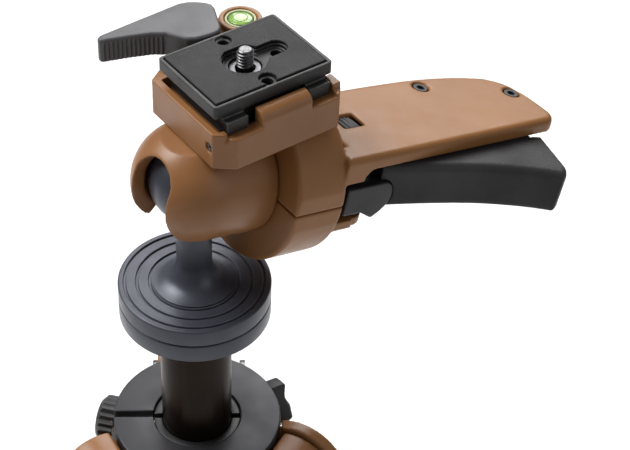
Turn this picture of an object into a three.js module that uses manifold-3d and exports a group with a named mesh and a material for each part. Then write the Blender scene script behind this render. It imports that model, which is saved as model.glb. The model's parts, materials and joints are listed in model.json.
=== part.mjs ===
// Tripod with a sliding centre column, a grip-action ball head and a quick-release camera plate.
// Millimetres, +Z up. The object stands on its three feet at z = 0.
import * as THREE from 'three';
import { mergeVertices } from 'three/addons/utils/BufferGeometryUtils.js';
import Module from 'manifold-3d';

const wasm = await Module();
wasm.setup();

const degrees = Math.PI / 180;
const gap = 0.3; // between pieces that touch
const play = 0.6; // round pieces that turn or slide past each other
const over = 1; // how far a cutting tool runs past the face it cuts
const far = 300; // past everything, for tools that cut away a whole side
const sides = { large: 32, medium: 20, small: 14, pin: 8 }; // facets round a full circle

// ---------------------------------------------------------------- driving dimensions

// Heights of the tripod are measured from the top of the head's base disc, outwards from the column axis.
const disc = { radius: 30, thickness: 7.4 };
const grooves = { radii: [17.5, 22.5, 27.3], width: 0.9, depth: 0.7 };
const topPlate = { thickness: 7.9, spigotLength: 14 };
const stud = { radius: 4.7, headRadius: 7.6, headThickness: 4.5 };
const column = { radius: 14.4, wall: 1.7, length: 380 };
const columnCap = { plug: 12, below: 8, taper: 2.5 };
const collar = { top: -76.8, radius: 35, thickness: 7.2, slit: 3 };
const bushing = { wall: 3.2, slit: 2.4, drop: 1.2, raise: 4 };
const hub = { radius: 27, height: 42 };
const lockKnob = { azimuth: 165, radius: 10.4, thickness: 8, ribs: 10, ribRadius: 1.6 };
const lockLever = { azimuth: 27, radius: 9, thickness: 7, reach: 12 };
const lockStud = { radius: 3, bossRadius: 6, bossStart: 20, bossInset: 1 };
const leg = { azimuths: [90, 210, 330], spread: 23, pivotRadius: 42, pivotDrop: 97, standHeight: 533 };
const ear = { radius: 20, thickness: 5.6, webInset: 8, webRise: 10, webDrop: 18 };
const yoke = { halfWidth: 11.8, headRadius: 18.4, shoulder: 30 };
const yokeNeck = { wall: 2.5, start: 8, end: 56, socketDepth: 34 };
const legBolt = { radius: 4, headRadius: 6.6, headThickness: 2.4 };
const upperTube = { radius: 11.8, wall: 1.3, aboveFloor: 73.353 };
const lowerTube = { clearance: 0.9, wall: 1.2, top: 84, footOverlap: 8 };
const legClamp = { wall: 3.4, length: 36, grip: 16 };
const legClampLever = { thickness: 4, width: 15, length: 27, hingeRadius: 2.7 };
const legClampPin = { radius: 1.6, reach: 2.6 };
const legClampLug = { reach: 3, drop: 1, bottom: 12, hingeDrop: 6 };
const foot = { wall: 2.8, height: 26 };
const catchTab = { width: 11, height: 12, depth: 6, proud: 3, drop: 9 };

// Head. Heights from the ball centre, in a frame turned to the grip's direction.
const head = { azimuth: 34, ballHeight: 50, gripTilt: 13.2, slotTurn: 6 };
const ball = { radius: 16.5, stemRadius: 6.9, footRadius: 13, footHeight: 9, footEdge: 1.2 };
const washer = { thickness: 0.7, innerAngle: 27, outerAngle: 33 };
const housing = { clearance: 1.4, wall: 5.3, neckWall: 4.8, boreStart: 4, seatWall: 2.4 };
const slot = { top: 24, clearance: 1.7, lean: 7, openAngle: 46, openClearance: 1.5 };
const seatCup = { thickness: 2.1, angle: 34 };
const piston = { radius: 6, flange: 3, tail: 43 };
const spring = { play: 1.7, length: 14, discs: 5, grooveDepth: 1.4 };

// Grip. Along the grip axis from the ball centre, across it, and up from the seam between its shells.
const barrel = { radius: 35, end: 46, flat: 34.3 };
const slab = { top: 20, thickness: 6, front: -33.5, cornerRadius: 6 };
const slabBack = [[70, 12.6], [92, 12], [112, 10.7], [130, 7.4], [143, 3]];
const slabEnd = [[149.4, -3.4], [152.4, -12], [153.2, -22]];
const palm = { floor: -14, wall: 2.8, innerNear: -16.5, innerFar: -12, step: 76 };
const leverPivot = { along: 56, across: -24.5, pinRadius: 2.5 };
const lever = { bottom: -8.4, top: 7, bossRadius: 6 };
const leverArm = { thickness: 5, top: 13, bottom: -4.4, end: 140 };
const leverNose = { shoulder: 8, tip: 13.5, chin: 5.5, chinStart: -1, under: -4.6, proud: 0.7 };
const leverNoseBack = [[70, -19.2], [60, -17.8], [51, -17.8], [46.6, -22]];
const leverArmInner = [[60, -18], [74, -21], [140, -28]];
const pad = { bottom: -4.8, top: 13.3 };
const padFront = [[63, -32.4], [82.4, -37.6], [101, -43.4], [114, -48.8], [126, -55]];
const padEnd = [[133.6, -60], [136.6, -58.6], [144, -34.6]];
const ledge = { along: 54.5, height: 9, fillet: 4 };
const tab = { along: 54.5, top: -9.2, bottom: -13, across: -32, padRadius: 6.5 };
const wheel = { along: 62, across: -9, radius: 9, width: 8, proud: -0.6, play: 0.5, window: 5 };
const axle = { radius: 1.8, reach: 2.6 };
const gripScrew = { headRadius: 3, shankRadius: 1.7, headDepth: 2.2, sunk: 0.4, length: 24, wall: 1.2 };
const gripScrewPlaces = [[110, 4], [147, -11]];
const hexSocket = { gripScrew: 1.5, setScrew: 0.8, gripDepth: 1.4, setDepth: 2 };

// Quick release: along the grip's direction, across it, and up from the ball centre. Its heights are drawn over
// a seat at this height, and the whole release rises and falls with the housing's seat.
const drawnSeat = 20.3;
const adapter = { left: -4.5, right: 49.5, front: -25.5, bottom: 20.6, top: 35.7, wall: 3, pocketFloor: 31 };
const adapterCorner = { leftAlong: 7, leftAcross: 5.5, right: 3, back: 8, leftBack: 19.5 };
const shoulder = { depth: 5.5, top: 34 };
const hook = { left: 13.5, right: 35, depth: 6, top: 40.5, root: 2, brow: 1, browDrop: 5 };
const post = { width: 3.5, top: 38.2, depth: 6 };
const plate = { left: -2.5, right: 48.2, front: -19, back: 18.1, top: 45.5, skirt: 5, rim: 1.3, recess: 1 };
const plateFoot = { reach: 3, bottom: 34.4, top: 39.6, inset: 3.2, length: 9 };
const plateCore = { inset: 2.4, bottom: 31.6, sideInset: 4.2 };
const well = { radius: 8.6, earReach: 13.6, earRadius: 4.1, depth: 2 };
const dowel = { radius: 2.1, reach: 14, depth: 2, padRadius: 2.9, notchRadius: 3.3 };
const screw = { across: -0.5, along: 22.8, radius: 3.175, proud: 4.6, slot: 1.4 };
const screwHead = { radius: 7.4, thickness: 2 };
const thread = { turns: 6, depth: 0.4, below: 3, tip: 0.8 };
const ring = { inner: 3.7, outer: 5.8, thickness: 1, drop: 3.3 };
const clampPivot = { along: 21.5, across: 31.5, pinRadius: 3, pinFloor: 1.4, pinReach: 6 };
const clampLever = { bottom: 36, top: 46 };
const clampLeverOutline = [[-14.6, 38.6], [7.9, 28.5], [12.3, 21.6], [18.6, 19.2], [24.6, 18.9], [27.5, 22.1],
  [32.1, 33.1], [32.2, 36.6], [25.8, 42], [22.5, 43], [-14, 41.4]];
const jaw = { halfWidth: 8, start: 17.9, depth: 6, travel: 2.5, bottom: 31, top: 35.3 };
const level = { along: 42.3, across: 31, bossRadius: 8.3, bossTop: 38.5 };
const levelCup = { radius: 6, depth: 5, glassRadius: 4.8, glassDepth: 3, rimDrop: 0.4, dome: 0.3 };
const setScrew = { across: -17.7, height: 28.6, radius: 1.6, length: 6 };
const button = { along: 31, height: 28, radius: 2.2, length: 8, proud: 2 };

// ---------------------------------------------------------------- solids

// Merges shared vertices, drops slivers that collapsed on the axis, and turns the faces outwards.
function closed(geometry) {
  const bare = geometry.clone();
  for (const name of ['normal', 'uv']) bare.deleteAttribute(name);
  const merged = mergeVertices(bare, 1e-4);
  const old = merged.index.array;
  const position = merged.attributes.position;
  const [a, b, c] = [new THREE.Vector3(), new THREE.Vector3(), new THREE.Vector3()];
  const triangles = [];
  let volume = 0;
  for (let i = 0; i < old.length; i += 3) {
    const [p, q, r] = [old[i], old[i + 1], old[i + 2]];
    if (p === q || q === r || r === p) continue;
    triangles.push(p, q, r);
    a.fromBufferAttribute(position, p);
    b.fromBufferAttribute(position, q);
    c.fromBufferAttribute(position, r);
    volume += a.dot(b.cross(c));
  }
  if (volume < 0) triangles.reverse();
  merged.setIndex(triangles);
  return merged;
}

function toSolid(geometry) {
  const whole = closed(geometry);
  return new wasm.Manifold(new wasm.Mesh({
    numProp: 3,
    vertProperties: new Float32Array(whole.attributes.position.array),
    triVerts: new Uint32Array(whole.index.array),
  }));
}

function toGeometry(solid) {
  const mesh = solid.getMesh();
  const geometry = new THREE.BufferGeometry();
  geometry.setAttribute('position', new THREE.BufferAttribute(mesh.vertProperties, 3));
  geometry.setIndex(new THREE.BufferAttribute(mesh.triVerts, 1));
  return geometry;
}

function combine(first, others, operation) {
  let solid = toSolid(first);
  for (const other of others) solid = solid[operation](toSolid(other));
  return toGeometry(solid);
}

const cut = (body, ...tools) => combine(body, tools, 'subtract');
const join = (body, ...others) => combine(body, others, 'add');
const common = (body, ...others) => combine(body, others, 'intersect');

function box(x0, x1, y0, y1, z0, z1) {
  return new THREE.BoxGeometry(x1 - x0, y1 - y0, z1 - z0)
    .translate((x0 + x1) / 2, (y0 + y1) / 2, (z0 + z1) / 2);
}

// A round bar along an axis, between two places on it.
function rod(axis, radius, from, to, segments = sides.small) {
  const bar = new THREE.CylinderGeometry(radius, radius, to - from, segments);
  bar.translate(0, (from + to) / 2, 0);
  if (axis === 'x') bar.rotateZ(-Math.PI / 2);
  if (axis === 'z') bar.rotateX(Math.PI / 2);
  return bar;
}

// Turns a profile of [radius, height] points about Z. A profile that leaves the axis closes on itself.
function turned(profile, segments = sides.medium) {
  const points = profile.map(([radius, height]) => new THREE.Vector2(radius, height));
  if (profile[0][0] > 0) points.push(points[0].clone());
  return new THREE.LatheGeometry(points, segments).rotateX(Math.PI / 2);
}

// Points of an arc about [radius, height] centre, for a turned profile.
function arc(centre, radius, fromAngle, toAngle, steps) {
  const points = [];
  for (let i = 0; i <= steps; i += 1) {
    const angle = (fromAngle + (toAngle - fromAngle) * i / steps) * degrees;
    points.push([centre[0] + radius * Math.cos(angle), centre[1] + radius * Math.sin(angle)]);
  }
  return points;
}

function outline(points) {
  return new THREE.Shape(points.map(([x, y]) => new THREE.Vector2(x, y)));
}

// A smooth line through a few points, as [x, y] steps.
function smooth(points, steps) {
  const curve = new THREE.SplineCurve(points.map(([x, y]) => new THREE.Vector2(x, y)));
  return curve.getPoints(steps).map((point) => [point.x, point.y]);
}

// An outline seen from above, between two heights.
function slabOf(shape, bottom, top, curveSegments = 12) {
  return new THREE.ExtrudeGeometry(shape, { depth: top - bottom, bevelEnabled: false, curveSegments })
    .translate(0, 0, bottom);
}

// An outline seen from the front (x along, y up), between two places across.
function sideOf(shape, near, far, curveSegments = 12) {
  return new THREE.ExtrudeGeometry(shape, { depth: far - near, bevelEnabled: false, curveSegments })
    .rotateX(Math.PI / 2).translate(0, far, 0);
}

// ---------------------------------------------------------------- finishes and groups

const finish = (color, roughness, metalness) => ({ color, roughness, metalness });
const tan = finish(0xa8764c, 0.55, 0.1);
const anodised = finish(0x1c1f27, 0.4, 0.6);
const satinBlack = finish(0x222224, 0.5, 0.2);
const collarGrey = finish(0x55565b, 0.45, 0.4);
const darkTube = finish(0x2a221c, 0.35, 0.6);
const plateGrey = finish(0x4c4c4b, 0.55, 0.3);
const leverGrey = finish(0x77757a, 0.5, 0.2);
const rubber = finish(0x1d1d1f, 0.85, 0);
const steel = finish(0xb9bcc0, 0.3, 0.9);
const brass = finish(0xb8964c, 0.35, 0.9);
const whitePlastic = finish(0xd8d6c8, 0.6, 0);
const bubbleGreen = finish(0xb6d94a, 0.1, 0);

function piece(group, name, geometry, look) {
  const mesh = new THREE.Mesh(closed(geometry), new THREE.MeshStandardMaterial(look));
  mesh.name = name;
  group.add(mesh);
  return mesh;
}

const stand = new THREE.Group();
const assembly = new THREE.Group();
stand.add(assembly);
const ballHead = new THREE.Group();
ballHead.position.z = head.ballHeight;
ballHead.rotation.z = head.azimuth * degrees;
assembly.add(ballHead);
const grip = new THREE.Group();
grip.rotation.y = head.gripTilt * degrees;
ballHead.add(grip);

// ---------------------------------------------------------------- column and head mount

const plateTop = -disc.thickness - gap;
const plateBottom = plateTop - topPlate.thickness;
const tubeTop = plateBottom - gap;
const tubeBottom = tubeTop - column.length;
const tubeBore = column.radius - column.wall;
const spigotRadius = tubeBore - gap;
const studHole = stud.radius + gap;
const studTop = -disc.thickness * 0.3;
const studShoulder = plateBottom - 1;
const chamfer = 0.8;

function baseDisc() {
  const { radius, thickness } = disc;
  const body = turned([[0, -thickness], [radius - chamfer, -thickness], [radius, chamfer - thickness],
    [radius, -chamfer], [radius - chamfer, 0], [0, 0]], sides.large);
  const rings = grooves.radii.map((middle) => {
    const [inner, outer] = [middle - grooves.width / 2, middle + grooves.width / 2];
    return turned([[inner, -grooves.depth], [outer, -grooves.depth], [outer, over], [inner, over]], sides.large);
  });
  return cut(body, ...rings, rod('z', studHole, -thickness - over, studTop + gap));
}

function columnTopPlate() {
  const { radius } = disc;
  const spigotEnd = plateBottom - topPlate.spigotLength;
  const headRoom = stud.headRadius + play;
  return turned([[studHole, plateTop], [radius - chamfer, plateTop], [radius, plateTop - chamfer],
    [radius, plateBottom + chamfer], [radius - chamfer, plateBottom], [spigotRadius, plateBottom],
    [spigotRadius, spigotEnd], [headRoom, spigotEnd], [headRoom, studShoulder], [studHole, studShoulder]],
  sides.large);
}

function mountStud() {
  const headTop = studShoulder - gap;
  const headBottom = headTop - stud.headThickness;
  const { radius, headRadius } = stud;
  return turned([[0, headBottom], [headRadius, headBottom], [headRadius, headTop], [radius, headTop],
    [radius, studTop - 1], [radius - 1, studTop], [0, studTop]], sides.small);
}

function columnEndCap() {
  const bottom = tubeBottom - columnCap.below;
  return turned([[0, bottom], [column.radius - columnCap.taper, bottom], [column.radius, bottom + 2],
    [column.radius, tubeBottom - gap], [spigotRadius, tubeBottom - gap],
    [spigotRadius, tubeBottom + columnCap.plug], [0, tubeBottom + columnCap.plug]]);
}

piece(assembly, 'head_base_disc', baseDisc(), anodised);
piece(assembly, 'column_top_plate', columnTopPlate(), anodised);
piece(assembly, 'head_mount_stud', mountStud(), steel);
piece(assembly, 'column_tube', turned([[tubeBore, tubeBottom], [column.radius, tubeBottom],
  [column.radius, tubeTop], [tubeBore, tubeTop]]), darkTube);
piece(assembly, 'column_end_cap', columnEndCap(), satinBlack);

// ---------------------------------------------------------------- hub, collar and their locks

const bushingInner = column.radius + gap;
const bushingOuter = bushingInner + bushing.wall;
const hubBore = bushingOuter + gap;
const collarBottom = collar.top - collar.thickness;
const hubTop = collarBottom - gap;
const hubBottom = hubTop - hub.height;
const legPivotHeight = -leg.pivotDrop;
const lockHeight = hubTop - lockStud.bossRadius - 1;
const earInside = yoke.halfWidth + gap;
const earOutside = earInside + ear.thickness;
const lockBossEnd = collar.radius - lockStud.bossInset;

// Turns a shape built along +X to an azimuth.
const toAzimuth = (geometry, azimuth) => geometry.rotateZ(azimuth * degrees);

function columnCollar() {
  const body = turned([[hubBore, collarBottom], [collar.radius - chamfer, collarBottom],
    [collar.radius, collarBottom + chamfer], [collar.radius, collar.top - chamfer],
    [collar.radius - chamfer, collar.top], [hubBore, collar.top]], sides.large);
  return cut(body, box(-collar.radius - over, 0, -collar.slit / 2, collar.slit / 2, collarBottom - over,
    collar.top + over));
}

function columnBushing() {
  const top = collar.top - bushing.drop;
  const bottom = hubBottom + bushing.raise;
  const body = turned([[bushingInner, bottom], [bushingOuter, bottom], [bushingOuter, top], [bushingInner, top]]);
  const slit = box(-bushingOuter - over, 0, -bushing.slit / 2, bushing.slit / 2, hubBottom, collar.top);
  const notch = box(0, bushingOuter + over, -bushing.slit / 2, bushing.slit / 2, lockHeight, collar.top);
  return cut(body, slit, notch);
}

// A pair of cheeks that hold the head of one leg between them.
function legEars(azimuth) {
  const cheeks = join(
    rod('y', ear.radius, earInside, earOutside, sides.medium),
    rod('y', ear.radius, -earOutside, -earInside, sides.medium),
  ).translate(leg.pivotRadius, 0, legPivotHeight);
  const webStart = hub.radius - ear.webInset;
  const webBottom = legPivotHeight - ear.webDrop;
  const webTop = legPivotHeight + ear.webRise;
  const webs = join(
    box(webStart, leg.pivotRadius, earInside, earOutside, webBottom, webTop),
    box(webStart, leg.pivotRadius, -earOutside, -earInside, webBottom, webTop),
  );
  const top = box(0, leg.pivotRadius + 3 * ear.radius, -2 * earOutside, 2 * earOutside, hubTop,
    hubTop + 2 * ear.radius);
  const underCollar = common(top, rod('z', collar.radius + play, hubTop, hubTop + 2 * ear.radius, sides.large));
  return toAzimuth(cut(join(cheeks, webs), underCollar), azimuth);
}

function spiderHub() {
  let body = rod('z', hub.radius, hubBottom, hubTop, sides.large);
  for (const azimuth of [lockKnob.azimuth, lockLever.azimuth]) {
    const boss = rod('x', lockStud.bossRadius, lockStud.bossStart, lockBossEnd).translate(0, 0, lockHeight);
    body = join(body, toAzimuth(boss, azimuth));
  }
  body = join(body, ...leg.azimuths.map(legEars));
  body = cut(body, rod('z', hubBore, hubBottom - over, hubTop + over, sides.medium));
  for (const azimuth of leg.azimuths) {
    const hole = rod('y', legBolt.radius + gap, -earOutside - over, earOutside + over)
      .translate(leg.pivotRadius, 0, legPivotHeight);
    body = cut(body, toAzimuth(hole, azimuth));
  }
  for (const azimuth of [lockKnob.azimuth, lockLever.azimuth]) {
    const hole = rod('x', lockStud.radius + gap, hubBore + 2, lockBossEnd + over).translate(0, 0, lockHeight);
    body = cut(body, toAzimuth(hole, azimuth));
  }
  return body;
}

// The stud that both locks turn on, and how far it reaches into the hub.
const lockStart = lockBossEnd + gap + 0.7;
const lockShaft = () => rod('x', lockStud.radius, hubBore + 2.5, lockStart + 1, sides.pin);

function ribbedKnob() {
  const end = lockStart + lockKnob.thickness;
  let body = turned([[0, lockStart], [lockKnob.radius - 1.5, lockStart], [lockKnob.radius, lockStart + 1.5],
    [lockKnob.radius, end - 2.5], [lockKnob.radius - 2.5, end], [0, end]], sides.medium).rotateY(Math.PI / 2);
  for (let i = 0; i < lockKnob.ribs; i += 1) {
    const flute = rod('x', lockKnob.ribRadius, lockStart - over, end + over, sides.pin);
    body = cut(body, flute.translate(0, lockKnob.radius + 0.7, 0).rotateX(i * 2 * Math.PI / lockKnob.ribs));
  }
  return toAzimuth(join(body, lockShaft()).translate(0, 0, lockHeight), lockKnob.azimuth);
}

function wingLever() {
  const { radius, reach, thickness } = lockLever;
  const wing = outline([[-radius, 0], [-radius * 0.5, -radius * 0.8], [radius * 0.5, -radius * 0.8],
    [radius, 0], [radius * 0.62, reach], [-radius * 0.1, reach + 2]]);
  const blade = slabOf(wing, lockStart, lockStart + thickness).rotateX(Math.PI / 2).rotateZ(Math.PI / 2);
  return toAzimuth(join(blade, lockShaft()).translate(0, 0, lockHeight), lockLever.azimuth);
}

piece(assembly, 'column_collar', columnCollar(), collarGrey);
piece(assembly, 'column_bushing', columnBushing(), satinBlack);
piece(assembly, 'spider_hub', spiderHub(), tan);
piece(assembly, 'column_lock_knob', ribbedKnob(), satinBlack);
piece(assembly, 'column_lock_lever', wingLever(), satinBlack);

// ---------------------------------------------------------------- legs

// Leg frame: origin on the pivot, X outwards, the leg running down -Z, tilted by the spread.
const hubClearance = leg.pivotRadius - hub.radius - play;
const pivotAboveFloor = leg.standHeight - leg.pivotDrop;
const axisToFloor = pivotAboveFloor / Math.cos(leg.spread * degrees);
const neckRadius = upperTube.radius + gap + yokeNeck.wall;
const lowerRadius = upperTube.radius - upperTube.wall - lowerTube.clearance;
const socketTop = yokeNeck.end - yokeNeck.socketDepth;
const upperTop = socketTop + gap;
const upperBottom = axisToFloor - upperTube.aboveFloor;
const clampTop = upperBottom - legClamp.grip;
const clampBottom = clampTop + legClamp.length;
const clampRadius = upperTube.radius + gap + legClamp.wall;
const clampHinge = clampRadius + 3;
const footTop = axisToFloor - foot.height;
const lowerBottom = footTop + lowerTube.footOverlap;

// What the hub takes up in the leg frame while the leg stands spread.
function hubRoom() {
  const wide = 2 * yoke.halfWidth;
  return box(-4 * yoke.headRadius, -hubClearance, -wide, wide, -2 * yokeNeck.end, 2 * yoke.headRadius)
    .rotateY(leg.spread * degrees);
}

// What the collar takes up in the leg frame, from the leg standing spread to the leg folded down.
function collarRoom() {
  const wide = 2 * yoke.halfWidth;
  const steps = 6;
  const rooms = [];
  for (let i = 0; i <= steps; i += 1) {
    rooms.push(box(-4 * yoke.headRadius, collar.radius + play - leg.pivotRadius, -wide, wide,
      hubTop - gap - legPivotHeight, 2 * yoke.headRadius).rotateY(leg.spread * degrees * i / steps));
  }
  return rooms;
}

// What the hub takes up in the leg frame while the leg is folded down.
function foldedHubRoom() {
  return box(-4 * yoke.headRadius, -hubClearance, -2 * yoke.halfWidth, 2 * yoke.halfWidth,
    hubBottom - legPivotHeight - 2 * play, 2 * yoke.headRadius);
}

function legYoke() {
  const headRound = rod('y', yoke.headRadius, -yoke.halfWidth, yoke.halfWidth, sides.medium);
  const headBlock = box(-hubClearance, neckRadius, -yoke.halfWidth, yoke.halfWidth, -yoke.shoulder, 0);
  const neck = rod('z', neckRadius, -yokeNeck.end, -yokeNeck.start, sides.medium);
  const earRoom = [-1, 1].map((side) => {
    const [near, away] = [side * yoke.halfWidth, 3 * side * yoke.halfWidth];
    return box(-2 * ear.radius, 2 * ear.radius, Math.min(near, away), Math.max(near, away), -ear.radius - play,
      ear.radius);
  });
  const socket = rod('z', upperTube.radius + gap, -yokeNeck.end - over, -socketTop, sides.medium);
  const boltHole = rod('y', legBolt.radius + gap, -yoke.halfWidth - over, yoke.halfWidth + over);
  const pocketWall = neckRadius + catchTab.proud;
  const pocket = box(neckRadius - catchTab.depth - gap, 2 * pocketWall, -catchTab.width / 2 - gap,
    catchTab.width / 2 + gap, -catchTab.drop - catchTab.height - gap, -catchTab.drop + gap);
  return cut(join(headRound, headBlock, neck), ...earRoom, hubRoom(), ...collarRoom(), foldedHubRoom(), socket,
    boltHole, pocket);
}

function legClampBody() {
  const body = rod('z', clampRadius, -clampBottom, -clampTop, sides.medium);
  const { reach, drop, bottom, hingeDrop } = legClampLug;
  const half = legClampLever.width / 2;
  const lugs = box(0, clampHinge + reach, -half - reach, half + reach, -clampTop - bottom, -clampTop - drop);
  const leverSpace = box(clampRadius + 0.2, clampHinge + 2 * reach, -half - gap, half + gap,
    -clampBottom - over, -clampTop + over);
  const upperBore = rod('z', upperTube.radius + gap, -upperBottom - gap, -clampTop + over, sides.medium);
  const lowerBore = rod('z', lowerRadius + gap, -clampBottom - over, -clampTop, sides.medium);
  const pinHole = rod('y', legClampPin.radius + gap, -clampRadius, clampRadius, sides.pin)
    .translate(clampHinge, 0, -clampTop - hingeDrop);
  return cut(join(body, lugs), leverSpace, upperBore, lowerBore, pinHole);
}

function legClampFlip() {
  const { thickness, width, length, hingeRadius } = legClampLever;
  const pinEnd = width / 2 + legClampPin.reach;
  const hinge = rod('y', hingeRadius, -width / 2, width / 2, sides.small);
  const blade = outline([[-1.6, 0], [thickness - 1.6, 2], [thickness - 0.6, -length * 0.8],
    [thickness - 2, -length], [-1.2, -length + 2]]);
  const pin = rod('y', legClampPin.radius, -pinEnd, pinEnd, sides.pin);
  return join(hinge, sideOf(blade, -width / 2, width / 2), pin)
    .translate(clampHinge, 0, -clampTop - legClampLug.hingeDrop);
}

function legFoot() {
  const bulge = lowerRadius + foot.wall;
  const depth = axisToFloor + bulge;
  const body = turned([[0, -depth], [bulge, -depth], [bulge, -footTop - 10], [bulge - 0.8, -footTop - 2],
    [bulge - 2, -footTop], [0, -footTop]], sides.medium);
  const socket = rod('z', lowerRadius + gap, -lowerBottom - gap, -footTop + over, sides.medium);
  const belowFloor = box(-far, far, -far, far, -pivotAboveFloor - far, -pivotAboveFloor)
    .rotateY(leg.spread * degrees);
  return cut(body, socket, belowFloor);
}

function legBoltBody() {
  const reach = earOutside + gap;
  const end = reach + legBolt.headThickness;
  const { radius, headRadius } = legBolt;
  return turned([[0, -end], [headRadius - 1, -end], [headRadius, 1 - end], [headRadius, -reach], [radius, -reach],
    [radius, reach], [headRadius, reach], [headRadius, end - 1], [headRadius - 1, end], [0, end]], sides.small)
    .rotateX(Math.PI / 2);
}

function catchBody() {
  return box(neckRadius - catchTab.depth, neckRadius + catchTab.proud, -catchTab.width / 2,
    catchTab.width / 2, -catchTab.drop - catchTab.height, -catchTab.drop);
}

const tube = (radius, wall, top, bottom) => turned([[radius - wall, -bottom], [radius, -bottom], [radius, -top],
  [radius - wall, -top]], sides.medium);

leg.azimuths.forEach((azimuth, index) => {
  const number = index + 1;
  const turn = new THREE.Group();
  turn.rotation.z = azimuth * degrees;
  assembly.add(turn);
  const joint = new THREE.Group();
  joint.position.set(leg.pivotRadius, 0, legPivotHeight);
  turn.add(joint);
  const limb = new THREE.Group();
  limb.rotation.y = -leg.spread * degrees;
  joint.add(limb);
  piece(joint, `leg_pivot_bolt_${number}`, legBoltBody(), steel);
  piece(limb, `leg_yoke_${number}`, legYoke(), tan);
  piece(limb, `leg_angle_catch_${number}`, catchBody(), satinBlack);
  const upper = tube(upperTube.radius, upperTube.wall, upperTop, upperBottom);
  const lower = tube(lowerRadius, lowerTube.wall, lowerTube.top, lowerBottom);
  piece(limb, `leg_upper_tube_${number}`, upper, darkTube);
  piece(limb, `leg_clamp_${number}`, legClampBody(), satinBlack);
  piece(limb, `leg_clamp_lever_${number}`, legClampFlip(), satinBlack);
  piece(limb, `leg_lower_tube_${number}`, lower, darkTube);
  piece(limb, `leg_foot_${number}`, legFoot(), rubber);
});

// ---------------------------------------------------------------- ball, stem and housing

const housingBore = ball.radius + housing.clearance;
const housingRadius = housingBore + housing.wall;
const neckLength = housingBore + housing.neckWall;
const seatHeight = housingBore + housing.seatWall;

function ballAndStem() {
  const { radius, stemRadius, footRadius, footHeight } = ball;
  const foot0 = gap - head.ballHeight;
  const flare = arc([footRadius, foot0 + footHeight], footRadius - stemRadius, -90, -180, 6);
  const meet = Math.asin(stemRadius / radius) / degrees;
  return turned([[0, foot0], [footRadius, foot0], [footRadius, foot0 + ball.footEdge], ...flare,
    ...arc([0, 0], radius, meet - 90, 90, 14).slice(0, -1), [0, radius]], sides.medium);
}

// A thin ring of the ball's own curve round its stem.
function dustWasher() {
  const inner = ball.radius + gap;
  const outer = inner + washer.thickness;
  return turned([...arc([0, 0], inner, washer.innerAngle - 90, washer.outerAngle - 90, 2),
    ...arc([0, 0], outer, washer.outerAngle - 90, washer.innerAngle - 90, 2)]);
}

// The slot plane holds the column axis; the stem enters it when the grip is raised.
function stemSlot() {
  const halfWidth = ball.stemRadius + slot.clearance;
  const reach = housingRadius + 6;
  const start = 180 - slot.top;
  const sector = [[0, 0]];
  for (let angle = start; angle < 270; angle += 6) {
    sector.push([reach * Math.cos(angle * degrees), reach * Math.sin(angle * degrees)]);
  }
  sector.push([0, -reach]);
  const fan = sideOf(outline(sector), -halfWidth, halfWidth);
  const upperEnd = rod('x', halfWidth, 0, reach, sides.small).rotateY(-start * degrees);
  const lowerEnd = rod('z', halfWidth, -reach, 0, sides.small);
  const tiltRoom = rod('z', halfWidth, -reach, 0, sides.small).rotateY(-slot.lean * degrees);
  return join(fan, upperEnd, lowerEnd, tiltRoom).rotateZ(head.slotTurn * degrees);
}

// Room for the stem when the head leans sideways, on the side away from the grip.
function sideOpening() {
  const reach = housingRadius + 6;
  const cone = turned([[0, -reach], [reach * Math.tan(slot.openAngle * degrees), -reach], [0, 0]], sides.medium);
  const side = ball.stemRadius + slot.openClearance;
  return common(cone, box(-2 * reach, side, -2 * reach, 2 * reach, -reach - over, 0));
}

const cupOuter = ball.radius + gap + seatCup.thickness;
const cupRim = cupOuter * Math.sin(seatCup.angle * degrees);
const neckBore = cupRim + play;
const springStart = cupOuter + gap + piston.flange + spring.play;
const alongGrip = (geometry) => geometry.rotateY(head.gripTilt * degrees);

function ballHousing() {
  const shell = new THREE.SphereGeometry(housingRadius, 32, 16);
  const neck = alongGrip(rod('x', housingRadius, 0, neckLength, sides.large));
  const inside = new THREE.SphereGeometry(housingBore, 24, 12);
  const bore = alongGrip(rod('x', neckBore, housing.boreStart, neckLength + over, sides.medium));
  const seat = box(-far, far, -far, far, seatHeight, far);
  return cut(join(shell, neck), inside, bore, stemSlot(), sideOpening(), seat);
}

function ballSeatCup() {
  const inner = ball.radius + gap;
  const profile = [...arc([0, 0], inner, 90, 90 - seatCup.angle, 4),
    ...arc([0, 0], cupOuter, 90 - seatCup.angle, 90, 4)];
  profile[0][0] = 0;
  profile[profile.length - 1][0] = 0;
  return turned(profile, sides.medium).rotateY(Math.PI / 2);
}

function thrustPiston() {
  const start = cupOuter + gap;
  return turned([[0, start], [neckBore - play, start], [neckBore - play, start + piston.flange],
    [piston.radius, start + piston.flange], [piston.radius, piston.tail], [0, piston.tail]], sides.small)
    .rotateY(Math.PI / 2);
}

// A stack of disc springs drawn as one grooved sleeve.
function brakeSpring() {
  const inner = piston.radius + play;
  const outer = neckBore - play;
  const pitch = spring.length / spring.discs;
  const profile = [[inner, springStart + spring.length], [inner, springStart]];
  for (let i = 0; i < spring.discs; i += 1) {
    const z = springStart + i * pitch;
    profile.push([outer, z], [outer, z + pitch * 0.7], [outer - spring.grooveDepth, z + pitch * 0.85]);
  }
  profile.push([outer, springStart + spring.length]);
  return turned(profile, sides.small).rotateY(Math.PI / 2);
}

piece(ballHead, 'ball_and_stem', ballAndStem(), anodised);
piece(ballHead, 'dust_washer', dustWasher(), satinBlack);
piece(ballHead, 'ball_housing', ballHousing(), tan);
piece(grip, 'ball_seat_cup', ballSeatCup(), whitePlastic);
piece(grip, 'thrust_piston', thrustPiston(), steel);
piece(grip, 'brake_spring', brakeSpring(), steel);

// ---------------------------------------------------------------- grip shells

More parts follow.
